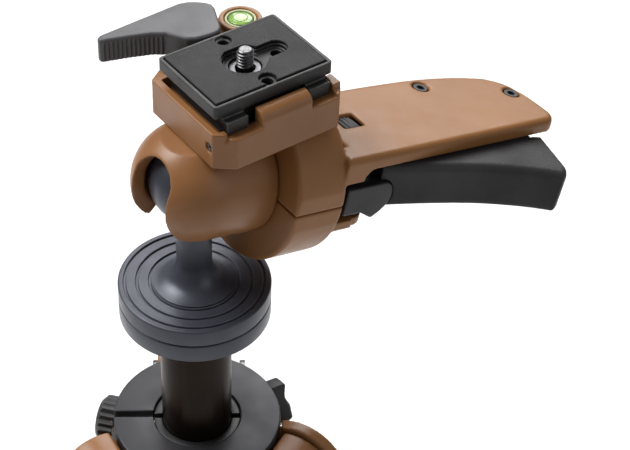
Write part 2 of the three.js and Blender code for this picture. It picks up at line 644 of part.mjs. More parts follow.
const barrelStart = neckLength + gap;
const slabBottom = slab.top - slab.thickness;
const slabTail = slabEnd[slabEnd.length - 1];

// The handle seen from above: straight front edge, rounded end, curved back edge.
function handleOutline() {
  const start = barrel.end - 2;
  const back = smooth([...slabBack].reverse(), 12);
  const end = smooth([slabBack[slabBack.length - 1], ...slabEnd], 8).reverse();
  const { front, cornerRadius } = slab;
  const corner = arc([slabTail[0] - cornerRadius, front + cornerRadius], cornerRadius, -90, 0, 5);
  return [[start, front], ...corner, ...end, ...back.slice(1), [start, slabBack[0][1] + 1]];
}

// The rear of the handle that the palm holds, a wall's thickness further in when inset is given.
function palmOutline(inset) {
  const start = inset > 0 ? palm.step + 4 : barrel.end - 2;
  const back = smooth(slabBack, 12).filter(([x]) => x > start)
    .map(([x, y]) => [Math.min(x, slabBack[slabBack.length - 1][0] - inset), y - inset]);
  const first = inset > 0 ? [start, back[0][1]] : [start, slabBack[0][1] + 1];
  const inner = palm.innerFar + inset;
  const shift = 0.02 + inset * 1.3;
  const end = slabEnd.slice(0, 2).map(([x, y]) => [x - shift, Math.max(y, inner + 0.5)]);
  const bend = inset > 0 ? [[start, inner]] : [[palm.step + 4, inner], [palm.step, palm.innerNear],
    [start, palm.innerNear]];
  return [first, ...back, ...end, [slabEnd[1][0] - shift, inner], ...bend].reverse();
}

const palmHollow = () => slabOf(outline(palmOutline(palm.wall)), palm.floor + palm.wall, slabBottom);
const screwPost = ([x, y], bottom, top) => rod('z', gripScrew.headRadius + gripScrew.wall, bottom, top,
  sides.small).translate(x, y, 0);
const screwHole = ([x, y]) => rod('z', gripScrew.shankRadius + gap, palm.floor + palm.wall, slab.top + over,
  sides.pin).translate(x, y, 0);
const screwRecess = ([x, y]) => rod('z', gripScrew.headRadius + gap, slab.top - gripScrew.headDepth - gap,
  slab.top + over, sides.small).translate(x, y, 0);

// Half of the round front block, above or below the seam.
function barrelHalf(bottom, top) {
  const round = rod('x', barrel.radius, barrelStart, barrel.end, sides.large);
  const width = barrel.flat;
  return common(round, box(0, far, -width, width, bottom, top));
}

const brakeBore = () => join(
  rod('x', neckBore, barrelStart - over, springStart + spring.length + play, sides.medium),
  rod('x', piston.radius + play, barrelStart - over, barrel.end + over, sides.small),
);
const alongGripBack = (geometry) => geometry.rotateY(-head.gripTilt * degrees);
const adapterRoom = () => alongGripBack(box(-far, far, -far, far, seatHeight, far));
const wheelHeight = slab.top + wheel.proud - wheel.radius;
const toWheel = (geometry) => geometry.translate(wheel.along, wheel.across, wheelHeight);
const wheelRoom = () => {
  const half = wheel.width / 2 + 0.4;
  const round = rod('y', wheel.radius + wheel.play, -half, half, sides.medium);
  const window = box(-wheel.window, wheel.window, -half, half, 0, slab.top + over - wheelHeight);
  const axleRoom = rod('y', axle.radius + gap, -half - axle.reach, half + axle.reach, sides.pin);
  return toWheel(join(round, window, axleRoom));
};
const pinRoom = () => rod('z', leverPivot.pinRadius + gap, palm.floor - over, slabBottom + 3.4, sides.small)
  .translate(leverPivot.along, leverPivot.across, 0);

function gripUpperShell() {
  const handle = slabOf(outline(handleOutline()), slabBottom, slab.top);
  const wall = slabOf(outline(palmOutline(0)), gap / 2, slabBottom + over);
  const brow = new THREE.Shape();
  brow.moveTo(barrel.end - 2, ledge.height);
  brow.lineTo(ledge.along, ledge.height);
  brow.lineTo(ledge.along, slabBottom - ledge.fillet);
  brow.quadraticCurveTo(ledge.along, slabBottom, ledge.along + ledge.fillet, slabBottom);
  brow.lineTo(ledge.along + ledge.fillet, slabBottom + over);
  brow.lineTo(barrel.end - 2, slabBottom + over);
  const ledgeBlock = sideOf(brow, slab.front, palm.innerNear + over);
  const posts = gripScrewPlaces.map((place) => screwPost(place, gap / 2, slabBottom + over));
  const solid = join(barrelHalf(gap / 2, 2 * barrel.radius), handle, wall, ledgeBlock);
  const hollow = join(cut(solid, palmHollow()), ...posts);
  return cut(hollow, brakeBore(), adapterRoom(), wheelRoom(), pinRoom(), ...gripScrewPlaces.map(screwHole),
    ...gripScrewPlaces.map(screwRecess));
}

function gripLowerShell() {
  const wall = slabOf(outline(palmOutline(0)), palm.floor, -gap / 2);
  const tongue = box(barrel.end - 2, tab.along, tab.across, palm.innerNear + over, tab.bottom, tab.top);
  const pinPad = rod('z', tab.padRadius, tab.bottom, tab.top, sides.small)
    .translate(leverPivot.along, leverPivot.across, 0);
  const posts = gripScrewPlaces.map((place) => screwPost(place, palm.floor, -gap / 2));
  const solid = join(barrelHalf(-2 * barrel.radius, -gap / 2), wall, tongue, pinPad);
  const hollow = join(cut(solid, palmHollow()), ...posts);
  return cut(hollow, brakeBore(), wheelRoom(), pinRoom(), ...gripScrewPlaces.map(screwHole));
}

function gripScrewBody([x, y]) {
  const headTop = slab.top - gripScrew.sunk;
  const headBottom = slab.top - gripScrew.headDepth;
  const body = turned([[0, headTop - gripScrew.length], [gripScrew.shankRadius, headTop - gripScrew.length],
    [gripScrew.shankRadius, headBottom], [gripScrew.headRadius, headBottom], [gripScrew.headRadius, headTop],
    [0, headTop]], sides.small);
  const socket = rod('z', hexSocket.gripScrew, headTop - hexSocket.gripDepth, headTop + over, 6);
  return cut(body, socket).translate(x, y, 0);
}

piece(grip, 'grip_upper_shell', gripUpperShell(), tan);
piece(grip, 'grip_lower_shell', gripLowerShell(), tan);
gripScrewPlaces.forEach((place, index) => {
  piece(grip, `grip_screw_${index + 1}`, gripScrewBody(place), satinBlack);
});

// ---------------------------------------------------------------- squeeze lever and friction wheel

const noseStart = barrel.end + play;

// The lever's nose seen from the front; grow leaves room for it in the pad.
const noseProfile = (grow) => {
  const shape = new THREE.Shape();
  const { shoulder: top, tip, chin, chinStart, under } = leverNose;
  const x = leverPivot.along;
  shape.moveTo(noseStart - grow, lever.top + grow);
  shape.lineTo(x + top + grow, lever.top + grow);
  shape.quadraticCurveTo(x + tip + grow, lever.top, x + tip + grow, 0);
  shape.quadraticCurveTo(x + tip - 0.5 + grow, -4.5, x + chin, lever.bottom - grow);
  shape.lineTo(x + chinStart, under - grow);
  shape.lineTo(noseStart - grow, under - grow);
  return shape;
};

function squeezeLever() {
  const front = slab.front - leverNose.proud;
  const noseEnd = leverNoseBack[0][0];
  const plan = outline([[noseStart, front], [noseEnd, front], ...leverNoseBack]);
  const nose = common(sideOf(noseProfile(0), front - over, -10), slabOf(plan, -20, lever.top + over));
  const [near, middle, end] = leverArmInner;
  const depth = leverArm.thickness;
  const arm = outline([near, middle, end, [leverArm.end, end[1] - depth], [middle[0], middle[1] - depth],
    [near[0], near[1] - depth]].reverse());
  const boss = rod('z', lever.bossRadius, lever.bottom, ledge.height - play, sides.small)
    .translate(leverPivot.along, leverPivot.across, 0);
  return cut(join(nose, slabOf(arm, leverArm.bottom, leverArm.top), boss), pinRoom());
}

function leverGripPad() {
  const [, middle, end] = leverArmInner;
  const behind = leverArm.thickness + gap;
  const inner = [[end[0] + 0.5, end[1] - behind], [middle[0], middle[1] - behind], [64.5, -27]];
  const plan = outline([...smooth(padFront, 16), ...padEnd, ...inner]);
  const boss = rod('z', lever.bossRadius + gap, -20, 20, sides.small)
    .translate(leverPivot.along, leverPivot.across, 0);
  return cut(slabOf(plan, pad.bottom, pad.top), sideOf(noseProfile(gap), slab.front - 2, 0), boss);
}

piece(grip, 'squeeze_lever', squeezeLever(), satinBlack);
piece(grip, 'lever_grip_pad', leverGripPad(), rubber);
piece(grip, 'lever_pivot_pin', rod('z', leverPivot.pinRadius, tab.bottom + gap, slabBottom + 3, sides.small)
  .translate(leverPivot.along, leverPivot.across, 0), steel);
piece(grip, 'friction_wheel', toWheel(join(
  rod('y', wheel.radius, -wheel.width / 2, wheel.width / 2, sides.medium),
  rod('y', axle.radius, -wheel.width / 2 - axle.reach, wheel.width / 2 + axle.reach, sides.pin),
)), satinBlack);

// ---------------------------------------------------------------- quick-release adapter

const release = new THREE.Group();
release.position.z = seatHeight - drawnSeat;
ballHead.add(release);

const adapterBack = level.across + level.bossRadius;
const toClampPin = (geometry) => geometry.translate(clampPivot.along, clampPivot.across, 0);
const toLevel = (geometry) => geometry.translate(level.along, level.across, 0);
const jawRoomEnd = jaw.start + jaw.depth + jaw.travel + gap;

function adapterOutline() {
  const { left, right, front } = adapter;
  const shape = new THREE.Shape();
  const corner = adapterCorner;
  shape.moveTo(left, front + corner.leftAcross);
  shape.lineTo(left + corner.leftAlong, front);
  shape.lineTo(right - corner.right, front);
  shape.lineTo(right, front + corner.right);
  shape.lineTo(right, level.across - corner.back);
  shape.absarc(level.along, level.across, level.bossRadius, 0, Math.PI / 2);
  shape.lineTo(clampPivot.along, adapterBack);
  shape.absarc(clampPivot.along, adapterBack - corner.back, corner.back, Math.PI / 2, Math.PI);
  shape.lineTo(left, corner.leftBack);
  return shape;
}

function hookBar() {
  const { front } = adapter;
  const side = new THREE.Shape();
  side.moveTo(front, shoulder.top - hook.root);
  side.lineTo(front + hook.depth, shoulder.top - hook.root);
  side.lineTo(front + hook.depth, hook.top);
  side.quadraticCurveTo(front + hook.brow, hook.top, front, hook.top - hook.browDrop);
  return new THREE.ExtrudeGeometry(side, { depth: hook.right - hook.left, bevelEnabled: false })
    .rotateX(Math.PI / 2).rotateZ(Math.PI / 2).translate(hook.left, 0, 0);
}

function adapterBody() {
  const { left, right, front, bottom, top, wall } = adapter;
  const postStart = front + adapterCorner.right;
  const jawHalf = jaw.halfWidth + gap;
  const body = slabOf(adapterOutline(), bottom, top);
  const boss = toLevel(rod('z', level.bossRadius, bottom, level.bossTop, sides.medium));
  const corner = box(right - post.width, right, postStart, postStart + post.depth, bottom, post.top);
  const shoulderEnd = front + shoulder.depth;
  const shoulderCut = box(left + 5, right - post.width, front - over, shoulderEnd, shoulder.top, far);
  const pocket = box(left + wall, right - wall, shoulderEnd, plate.back - play, adapter.pocketFloor, far);
  const jawRoom = box(clampPivot.along - jawHalf, clampPivot.along + jawHalf, plate.back - 2, jawRoomEnd,
    jaw.bottom - gap, top + over);
  const pinHole = toClampPin(rod('z', clampPivot.pinRadius + gap, bottom + clampPivot.pinFloor, top + over,
    sides.small));
  const levelHole = toLevel(rod('z', levelCup.radius + gap, level.bossTop - levelCup.depth - gap,
    level.bossTop + over, sides.medium));
  const screwHole = rod('x', setScrew.radius + gap, left - over, left + setScrew.length + 1, sides.pin)
    .translate(0, setScrew.across, setScrew.height);
  const buttonHole = rod('y', button.radius + gap, adapterBack + button.proud - button.length - 2,
    adapterBack + over, sides.pin).translate(button.along, 0, button.height);
  const leverSweep = box(-far, level.along - level.bossRadius - 1, plate.back, adapterBack + over, top, far);
  return cut(join(cut(join(body, corner), shoulderCut), hookBar(), boss), pocket, jawRoom, pinHole, levelHole,
    screwHole, buttonHole, leverSweep);
}

function adapterSetScrew() {
  const { left } = adapter;
  const body = rod('x', setScrew.radius, left + 0.5, left + setScrew.length, sides.pin);
  const socket = rod('x', hexSocket.setScrew, left - over, left + hexSocket.setDepth, 6);
  return cut(body, socket).translate(0, setScrew.across, setScrew.height);
}

function releaseButton() {
  const end = adapterBack + button.proud;
  return rod('y', button.radius, end - button.length, end, 24).translate(button.along, 0, button.height);
}

function clampLeverBody() {
  const { bottom, top } = clampLever;
  const pinHole = rod('z', clampPivot.pinRadius + gap, bottom - over, bottom + clampPivot.pinReach + gap,
    sides.small);
  return cut(slabOf(outline(clampLeverOutline), bottom, top), toClampPin(pinHole));
}

function clampLeverPin() {
  return toClampPin(rod('z', clampPivot.pinRadius, adapter.bottom + clampPivot.pinFloor + gap,
    clampLever.bottom + clampPivot.pinReach, sides.small));
}

function clampJaw() {
  return box(clampPivot.along - jaw.halfWidth, clampPivot.along + jaw.halfWidth, jaw.start,
    jaw.start + jaw.depth, jaw.bottom, jaw.top);
}

function levelCupBody() {
  const top = level.bossTop;
  const { radius, depth, glassRadius, glassDepth, rimDrop } = levelCup;
  return toLevel(turned([[0, top - depth], [radius, top - depth], [radius, top - rimDrop],
    [glassRadius + gap, top - rimDrop], [glassRadius + gap, top - glassDepth], [0, top - glassDepth]]));
}

function levelGlass() {
  const top = level.bossTop;
  const { glassRadius, glassDepth, dome } = levelCup;
  const bottom = top - glassDepth + gap;
  return toLevel(turned([[0, bottom], [glassRadius, bottom], [glassRadius, top - 0.5],
    [glassRadius * 0.6, top + 0.1], [0, top + dome]]));
}

piece(release, 'adapter_body', adapterBody(), tan);
piece(release, 'adapter_set_screw', adapterSetScrew(), steel);
piece(release, 'release_button', releaseButton(), brass);
piece(release, 'clamp_lever_pin', clampLeverPin(), steel);
piece(release, 'clamp_lever', clampLeverBody(), leverGrey);
piece(release, 'clamp_jaw', clampJaw(), brass);
piece(release, 'level_cup', levelCupBody(), whitePlastic);
piece(release, 'level_glass', levelGlass(), bubbleGreen);

// ---------------------------------------------------------------- camera plate

const plateUnder = plate.top - plate.skirt;
const padFloor = plate.top - plate.recess;

const toScrew = (geometry) => geometry.translate(screw.along, screw.across, 0);

// The keyhole-shaped well round the camera screw: a round and an ear on its right.
function screwWell(bottom, top) {
  const { radius, earReach, earRadius } = well;
  const round = rod('z', radius, bottom, top, sides.medium);
  const earEnd = rod('z', earRadius, bottom, top, sides.small).translate(earReach, 0, 0);
  const bridge = box(0, earReach, -earRadius, earRadius, bottom, top);
  return toScrew(join(round, bridge, earEnd));
}

const dowelAt = (side, radius, bottom, top) => toScrew(rod('z', radius, bottom, top, sides.small)
  .translate(0, side * dowel.reach, 0));

function plateBody() {
  const { left, right, front, back, top, rim } = plate;
  const { inset, sideInset, bottom } = plateCore;
  const slabTop = box(left, right, front, back, plateUnder, top);
  const core = box(left + sideInset, right - sideInset, front + inset, back - inset, bottom, plateUnder + over);
  const feet = [];
  for (const start of [left + plateFoot.inset, right - plateFoot.inset - plateFoot.length]) {
    const end = start + plateFoot.length;
    const root = front + inset + over;
    feet.push(box(start, end, front - plateFoot.reach, root, plateFoot.bottom, plateFoot.top));
    feet.push(box(start, end, front, root, plateFoot.bottom, plateUnder + over));
  }
  const recess = box(left + rim, right - rim, front + rim, back - rim, padFloor, top + over);
  const body = cut(join(slabTop, core, ...feet), recess);
  const ringSeat = toScrew(rod('z', ring.outer + gap, padFloor - ring.drop - gap, top, sides.small));
  const shankHole = toScrew(rod('z', screw.radius + gap, bottom - over, top, sides.small));
  const headRoom = toScrew(rod('z', screwHead.radius + gap, bottom - over, bottom + screwHead.thickness + play,
    sides.small));
  const dowelBottom = plateUnder - dowel.depth;
  const sideHole = toScrew(rod('z', dowel.radius, dowelBottom, top, sides.small)
    .translate(well.earReach, 0, 0));
  return cut(body, screwWell(padFloor - well.depth, top), ringSeat, shankHole, headRoom, sideHole,
    dowelAt(1, dowel.radius, dowelBottom, top), dowelAt(-1, dowel.radius, dowelBottom, top));
}

function platePad() {
  const side = plate.rim + gap;
  const above = plate.top + 2 * over;
  const body = box(plate.left + side, plate.right - side, plate.front + side, plate.back - side, padFloor + gap,
    plate.top + 0.4);
  return cut(body, screwWell(padFloor - over, above), dowelAt(1, dowel.padRadius, padFloor - over, above),
    dowelAt(-1, dowel.notchRadius, padFloor - over, above));
}

function screwRing() {
  const bottom = padFloor - ring.drop;
  const top = bottom + ring.thickness;
  return toScrew(turned([[ring.inner, bottom], [ring.outer, bottom], [ring.outer, top], [ring.inner, top]],
    sides.small));
}

// The camera screw with its thread drawn as rings.
function cameraScrew() {
  const bottom = plateCore.bottom + 0.2;
  const headTop = bottom + screwHead.thickness;
  const tip = plate.top + screw.proud;
  const threadStart = plate.top - thread.below;
  const pitch = (tip - thread.tip - threadStart) / thread.turns;
  const root = screw.radius - thread.depth;
  const profile = [[0, bottom], [screwHead.radius, bottom], [screwHead.radius, headTop], [root, headTop],
    [root, threadStart]];
  for (let i = 0; i < thread.turns; i += 1) {
    profile.push([screw.radius, threadStart + (i + 0.5) * pitch], [root, threadStart + (i + 1) * pitch]);
  }
  profile.push([screw.radius - 0.9, tip], [0, tip]);
  const slotReach = screwHead.radius + over;
  const coinSlot = box(-screw.slot / 2, screw.slot / 2, -slotReach, slotReach, bottom - over, bottom + 1);
  return toScrew(cut(turned(profile, sides.small), coinSlot));
}

piece(release, 'plate_body', plateBody(), plateGrey);
piece(release, 'plate_pad', platePad(), plateGrey);
piece(release, 'screw_ring', screwRing(), steel);
piece(release, 'camera_screw', cameraScrew(), steel);

// The feet stand on z = 0, and the middle of the whole object's box is over the origin.
stand.updateMatrixWorld(true);
const extent = new THREE.Box3().setFromObject(stand, true);
assembly.position.set(-(extent.min.x + extent.max.x) / 2, -(extent.min.y + extent.max.y) / 2, -extent.min.z);

export default stand;
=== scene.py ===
import json
import math

import bpy
from mathutils import Matrix, Vector


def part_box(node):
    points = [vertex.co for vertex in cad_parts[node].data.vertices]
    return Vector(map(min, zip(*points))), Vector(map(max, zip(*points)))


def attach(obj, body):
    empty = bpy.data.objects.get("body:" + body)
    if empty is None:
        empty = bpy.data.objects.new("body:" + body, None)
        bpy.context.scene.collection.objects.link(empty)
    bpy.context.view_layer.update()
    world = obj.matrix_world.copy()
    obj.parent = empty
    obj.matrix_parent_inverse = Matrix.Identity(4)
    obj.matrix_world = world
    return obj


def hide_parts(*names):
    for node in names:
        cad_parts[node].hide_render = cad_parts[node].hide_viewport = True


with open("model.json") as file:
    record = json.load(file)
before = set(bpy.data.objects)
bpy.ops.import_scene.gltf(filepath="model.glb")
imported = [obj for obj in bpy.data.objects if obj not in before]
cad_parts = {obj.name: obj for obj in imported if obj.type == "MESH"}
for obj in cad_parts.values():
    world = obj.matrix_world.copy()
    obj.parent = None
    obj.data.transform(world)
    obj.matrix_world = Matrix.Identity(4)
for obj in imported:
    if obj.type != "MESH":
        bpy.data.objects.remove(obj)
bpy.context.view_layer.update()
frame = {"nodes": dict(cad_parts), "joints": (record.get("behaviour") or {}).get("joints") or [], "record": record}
print("frame loaded:", len(frame["nodes"]), "nodes")

# Pieces are modelled in millimetres round their own origin, then put into the frame in metres.
millimetre = 0.001
slipFit = 0.3  # room between two parts that fit into each other
farPast = 60  # further out than anything a cut has to clear
joints = {joint["name"]: joint for joint in frame["joints"]}


def frameAt(origin, xAxis, yAxis, zAxis):
    turn = Matrix((xAxis, yAxis, zAxis)).transposed().to_4x4()
    return Matrix.Translation(origin) @ turn @ Matrix.Scale(millimetre, 4)


def axisOf(name):
    return Vector(joints[name]["axis"]).normalized()


discLow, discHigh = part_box("head_base_disc")
discTop = Vector(((discLow.x + discHigh.x) / 2, (discLow.y + discHigh.y) / 2, discHigh.z))
ballCentre = Vector(joints["head_pan"]["pos_m"])
gripAxis = axisOf("head_roll")
gripAcross = axisOf("friction_wheel_turn")
gripUp = axisOf("grip_squeeze")
headAlong = Vector((gripAxis.x, gripAxis.y, 0)).normalized()
gripTilt = math.asin(-gripAxis.z)
columnFrame = Matrix.Translation(discTop) @ Matrix.Scale(millimetre, 4)
headFrame = frameAt(ballCentre, headAlong, gripAcross, Vector((0, 0, 1)))
gripFrame = frameAt(ballCentre, gripAxis, gripAcross, gripUp)
legNumbers = (1, 2, 3)


def legFrame(number):
    pivot = Vector(joints[f"leg_{number}_spread"]["pos_m"])
    return frameAt(pivot, axisOf(f"leg_{number}_catch_pull"), axisOf(f"leg_{number}_spread"),
                   -axisOf(f"leg_{number}_extend"))


# modelling tools

def pick(piece):
    bpy.ops.object.select_all(action="DESELECT")
    piece.select_set(True)
    bpy.context.view_layer.objects.active = piece


def fixPlace():
    bpy.ops.object.transform_apply(location=True, rotation=True, scale=True)


def addBlock(x, y, z):
    bpy.ops.object.select_all(action="DESELECT")
    spans = [sorted(span) for span in (x, y, z)]
    bpy.ops.mesh.primitive_cube_add(size=1, location=[(low + high) / 2 for low, high in spans],
                                    scale=[high - low for low, high in spans])
    fixPlace()
    return bpy.context.object


def addRod(axis, radius, start, end, centre=(0, 0, 0), sides=96, endRadius=None):
    bpy.ops.object.select_all(action="DESELECT")
    place = Vector(centre)
    place["xyz".index(axis)] += (start + end) / 2
    turn = {"x": (0, math.pi / 2, 0), "y": (-math.pi / 2, 0, 0), "z": (0, 0, 0)}[axis]
    bpy.ops.mesh.primitive_cone_add(vertices=sides, radius1=radius, radius2=endRadius or radius,
                                    depth=end - start, location=place, rotation=turn)
    fixPlace()
    return bpy.context.object


def addBall(radius, centre=(0, 0, 0), segments=96):
    bpy.ops.object.select_all(action="DESELECT")
    bpy.ops.mesh.primitive_uv_sphere_add(segments=segments, ring_count=segments // 2, radius=radius,
                                         location=centre)
    return bpy.context.object


def closeUp(piece):
    pick(piece)
    bpy.ops.object.mode_set(mode="EDIT")
    bpy.ops.mesh.select_all(action="SELECT")
    bpy.ops.mesh.remove_doubles(threshold=1e-4)
    bpy.ops.mesh.normals_make_consistent(inside=False)
    bpy.ops.object.mode_set(mode="OBJECT")
    return piece


def addSlab(outline, low, high, axis="z"):
    # an outline drawn across the axis, extruded along it
    bpy.ops.object.select_all(action="DESELECT")
    bpy.ops.mesh.primitive_circle_add(vertices=len(outline), fill_type="NGON")
    piece = bpy.context.object
    lay = {"x": lambda u, v: (low, u, v), "y": lambda u, v: (u, low, v), "z": lambda u, v: (u, v, low)}[axis]
    for vertex, (u, v) in zip(piece.data.vertices, outline):
        vertex.co = lay(u, v)
    rise = Vector((0, 0, 0))
    rise["xyz".index(axis)] = high - low
    bpy.ops.object.mode_set(mode="EDIT")
    bpy.ops.mesh.select_all(action="SELECT")
    bpy.ops.mesh.extrude_region_move(TRANSFORM_OT_translate={"value": rise})
    bpy.ops.object.mode_set(mode="OBJECT")
    return closeUp(piece)


def spinProfile(profile, steps=128, axis="z"):
    # a profile of (radius, height) points, spun about the axis
    bpy.ops.object.select_all(action="DESELECT")
    bpy.ops.mesh.primitive_circle_add(vertices=len(profile))
    piece = bpy.context.object
    for vertex, (radius, height) in zip(piece.data.vertices, profile):
        vertex.co = (radius, 0, height)
    onAxis = profile[0][0] < 1e-6 and profile[-1][0] < 1e-6
    bpy.ops.object.mode_set(mode="EDIT")
    if onAxis:
        bpy.ops.mesh.select_mode(type="EDGE")
        bpy.ops.mesh.select_all(action="DESELECT")
        bpy.ops.object.mode_set(mode="OBJECT")
        ends = {0, len(profile) - 1}
        for edge in piece.data.edges:
            edge.select = set(edge.vertices) == ends
        bpy.ops.object.mode_set(mode="EDIT")
        bpy.ops.mesh.delete(type="EDGE_FACE")
        bpy.ops.mesh.select_mode(type="VERT")
    bpy.ops.mesh.select_all(action="SELECT")
    bpy.ops.mesh.spin(steps=steps, angle=2 * math.pi, center=(0, 0, 0), axis=(0, 0, 1))
    bpy.ops.object.mode_set(mode="OBJECT")
    closeUp(piece)
    if axis != "z":
        piece.rotation_euler = {"x": (0, math.pi / 2, 0), "y": (-math.pi / 2, 0, 0)}[axis]
        pick(piece)
        fixPlace()
    return piece


def turnAbout(piece, axis, angle):
    pick(piece)
    piece.matrix_world = Matrix.Rotation(angle, 4, axis.upper()) @ piece.matrix_world
    fixPlace()
    return piece


def shift(piece, offset):
    pick(piece)
    piece.location = Vector(offset)
    fixPlace()
    return piece


def useModifier(piece, kind, **settings):
    pick(piece)
    modifier = piece.modifiers.new(kind.lower(), kind)
    for name, value in settings.items():
        setattr(modifier, name, value)
    bpy.ops.object.modifier_apply(modifier=modifier.name)
    return piece


def boolean(piece, tools, operation):
    for tool in tools:
        useModifier(piece, "BOOLEAN", object=tool, operation=operation, solver="EXACT")
        bpy.data.objects.remove(tool)
    return piece


def carve(piece, *tools):
    return boolean(piece, tools, "DIFFERENCE")


def weld(piece, *parts):
    return boolean(piece, parts, "UNION")


def trim(piece, *limits):
    return boolean(piece, limits, "INTERSECT")


def bevelRim(piece, width, segments, test):
    # rounds the edges whose two ends both pass the test
    pick(piece)
    bpy.ops.object.mode_set(mode="EDIT")
    bpy.ops.mesh.select_mode(type="EDGE")
    bpy.ops.mesh.select_all(action="DESELECT")
    bpy.ops.object.mode_set(mode="OBJECT")
    points = piece.data.vertices
    for edge in piece.data.edges:
        edge.select = all(test(points[end].co) for end in edge.vertices)
    bpy.ops.object.mode_set(mode="EDIT")
    bpy.ops.mesh.bevel(offset=width, segments=segments, affect="EDGES")
    bpy.ops.mesh.select_mode(type="VERT")
    bpy.ops.object.mode_set(mode="OBJECT")
    return piece


def soften(piece, width, segments=3, angle=30):
    return useModifier(piece, "BEVEL", width=width, segments=segments, limit_method="ANGLE",
                       angle_limit=math.radians(angle), harden_normals=False)


def castSkin(piece, voxel, passes):
    # one even skin over the whole shape, its edges rounded as a casting's are
    useModifier(piece, "REMESH", mode="VOXEL", voxel_size=voxel)
    useModifier(piece, "SMOOTH", factor=0.5, iterations=passes)
    piece["cast"] = True
    return piece


def settle(piece, name, place, body, node, finish):
    piece.name = name
    piece.data.name = name
    pick(piece)
    piece.matrix_world = place
    fixPlace()
    if place.determinant() < 0:
        closeUp(piece)
    if piece.get("cast"):
        bpy.ops.object.shade_smooth()
    else:
        bpy.ops.object.shade_smooth_by_angle(angle=math.radians(35))
    piece.data.materials.clear()
    piece.data.materials.append(finish)
    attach(piece, body)
    if node:
        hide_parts(node)
    return piece


def copyOf(piece):
    pick(piece)
    bpy.ops.object.duplicate(linked=False)
    return bpy.context.object


def arcPoints(centre, radius, start, end, steps):
    points = []
    for step in range(steps + 1):
        angle = math.radians(start + (end - start) * step / steps)
        points.append((centre[0] + radius * math.cos(angle), centre[1] + radius * math.sin(angle)))
    return points


def bendTo(start, control, end, steps=10):
    points = []
    for step in range(1, steps + 1):
        t = step / steps
        points.append(tuple((1 - t) ** 2 * a + 2 * t * (1 - t) * b + t * t * c
                            for a, b, c in zip(start, control, end)))
    return points


def curveThrough(points, steps):
    # an even curve through every point, steps pieces between two of them
    ends = [points[0], *points, points[-1]]
    line = [points[0]]
    for first, start, stop, last in zip(ends, ends[1:], ends[2:], ends[3:]):
        for step in range(1, steps + 1):
            t = step / steps
            line.append(tuple(
                0.5 * (2 * b + (c - a) * t + (2 * a - 5 * b + 4 * c - d) * t * t
                       + (3 * b - a - 3 * c + d) * t ** 3)
                for a, b, c, d in zip(first, start, stop, last)))
    return line


# finishes

def newFinish(name, color, roughness, metallic=0.0, **sockets):
    material = bpy.data.materials.new(name)
    material.use_nodes = True
    shader = material.node_tree.nodes["Principled BSDF"]
    shader.inputs["Base Color"].default_value = (*color, 1)
    shader.inputs["Roughness"].default_value = roughness
    shader.inputs["Metallic"].default_value = metallic
    for socket, value in sockets.items():
        shader.inputs[socket].default_value = value
    return material, material.node_tree, shader


def addNode(tree, kind, **values):
    node = tree.nodes.new(kind)
    for name, value in values.items():
        if name in node.inputs:
            node.inputs[name].default_value = value
        else:
            setattr(node, name, value)
    return node


def placeOn(tree, scale=(1, 1, 1), turn=(0, 0, 0), move=(0, 0, 0)):
    coordinates = addNode(tree, "ShaderNodeTexCoord")
    mapping = addNode(tree, "ShaderNodeMapping", Location=move, Rotation=turn, Scale=scale)
    tree.links.new(coordinates.outputs["Object"], mapping.inputs["Vector"])
    return mapping.outputs["Vector"]


def noiseOn(tree, vector, perMetre, detail=2.0):
    noise = addNode(tree, "ShaderNodeTexNoise", Scale=perMetre, Detail=detail)
    tree.links.new(vector, noise.inputs["Vector"])
    return noise.outputs["Fac"]


def remap(tree, value, low, high, lowTo, highTo):
    node = tree.nodes.new("ShaderNodeMapRange")
    for name, number in zip(("From Min", "From Max", "To Min", "To Max"), (low, high, lowTo, highTo)):
        node.inputs[name].default_value = number
    tree.links.new(value, node.inputs["Value"])
    return node.outputs["Result"]


def multiply(tree, first, second, operation="MULTIPLY"):
    node = tree.nodes.new("ShaderNodeMath")
    node.operation = operation
    tree.links.new(first, node.inputs[0])
    if isinstance(second, (int, float)):
        node.inputs[1].default_value = second
    else:
        tree.links.new(second, node.inputs[1])
    return node.outputs[0]


def mixColors(tree, factor, first, second):
    node = tree.nodes.new("ShaderNodeMix")
    node.data_type = "RGBA"
    tree.links.new(factor, node.inputs["Factor"])
    for socket, color in ((node.inputs[6], first), (node.inputs[7], second)):
        if isinstance(color, tuple):
            socket.default_value = (*color, 1)
        else:
            tree.links.new(color, socket)
    return node.outputs[2]


def bumpFrom(tree, shader, height, depth, strength=1.0):
    bump = addNode(tree, "ShaderNodeBump", Strength=strength, Distance=depth)
    tree.links.new(height, bump.inputs["Height"])
    tree.links.new(bump.outputs["Normal"], shader.inputs["Normal"])


def edgeWearAndHighlight(tree, vector, reach, amount):
    # lighter within reach of an edge, broken up by a cloudy pattern: edge wear, and on the camera plate also a
    # painted highlight along its rims
    rounded = addNode(tree, "ShaderNodeBevel", Radius=reach)
    rounded.samples = 4
    geometry = tree.nodes.new("ShaderNodeNewGeometry")
    facing = tree.nodes.new("ShaderNodeVectorMath")
    facing.operation = "DOT_PRODUCT"
    tree.links.new(rounded.outputs["Normal"], facing.inputs[0])
    tree.links.new(geometry.outputs["Normal"], facing.inputs[1])
    edge = remap(tree, facing.outputs["Value"], 0.995, 0.90, 0, amount)
    cloud = remap(tree, noiseOn(tree, vector, 260, 4), 0.40, 0.62, 0.25, 1)
    return multiply(tree, edge, cloud)


wearAndHighlightReach = 0.0005

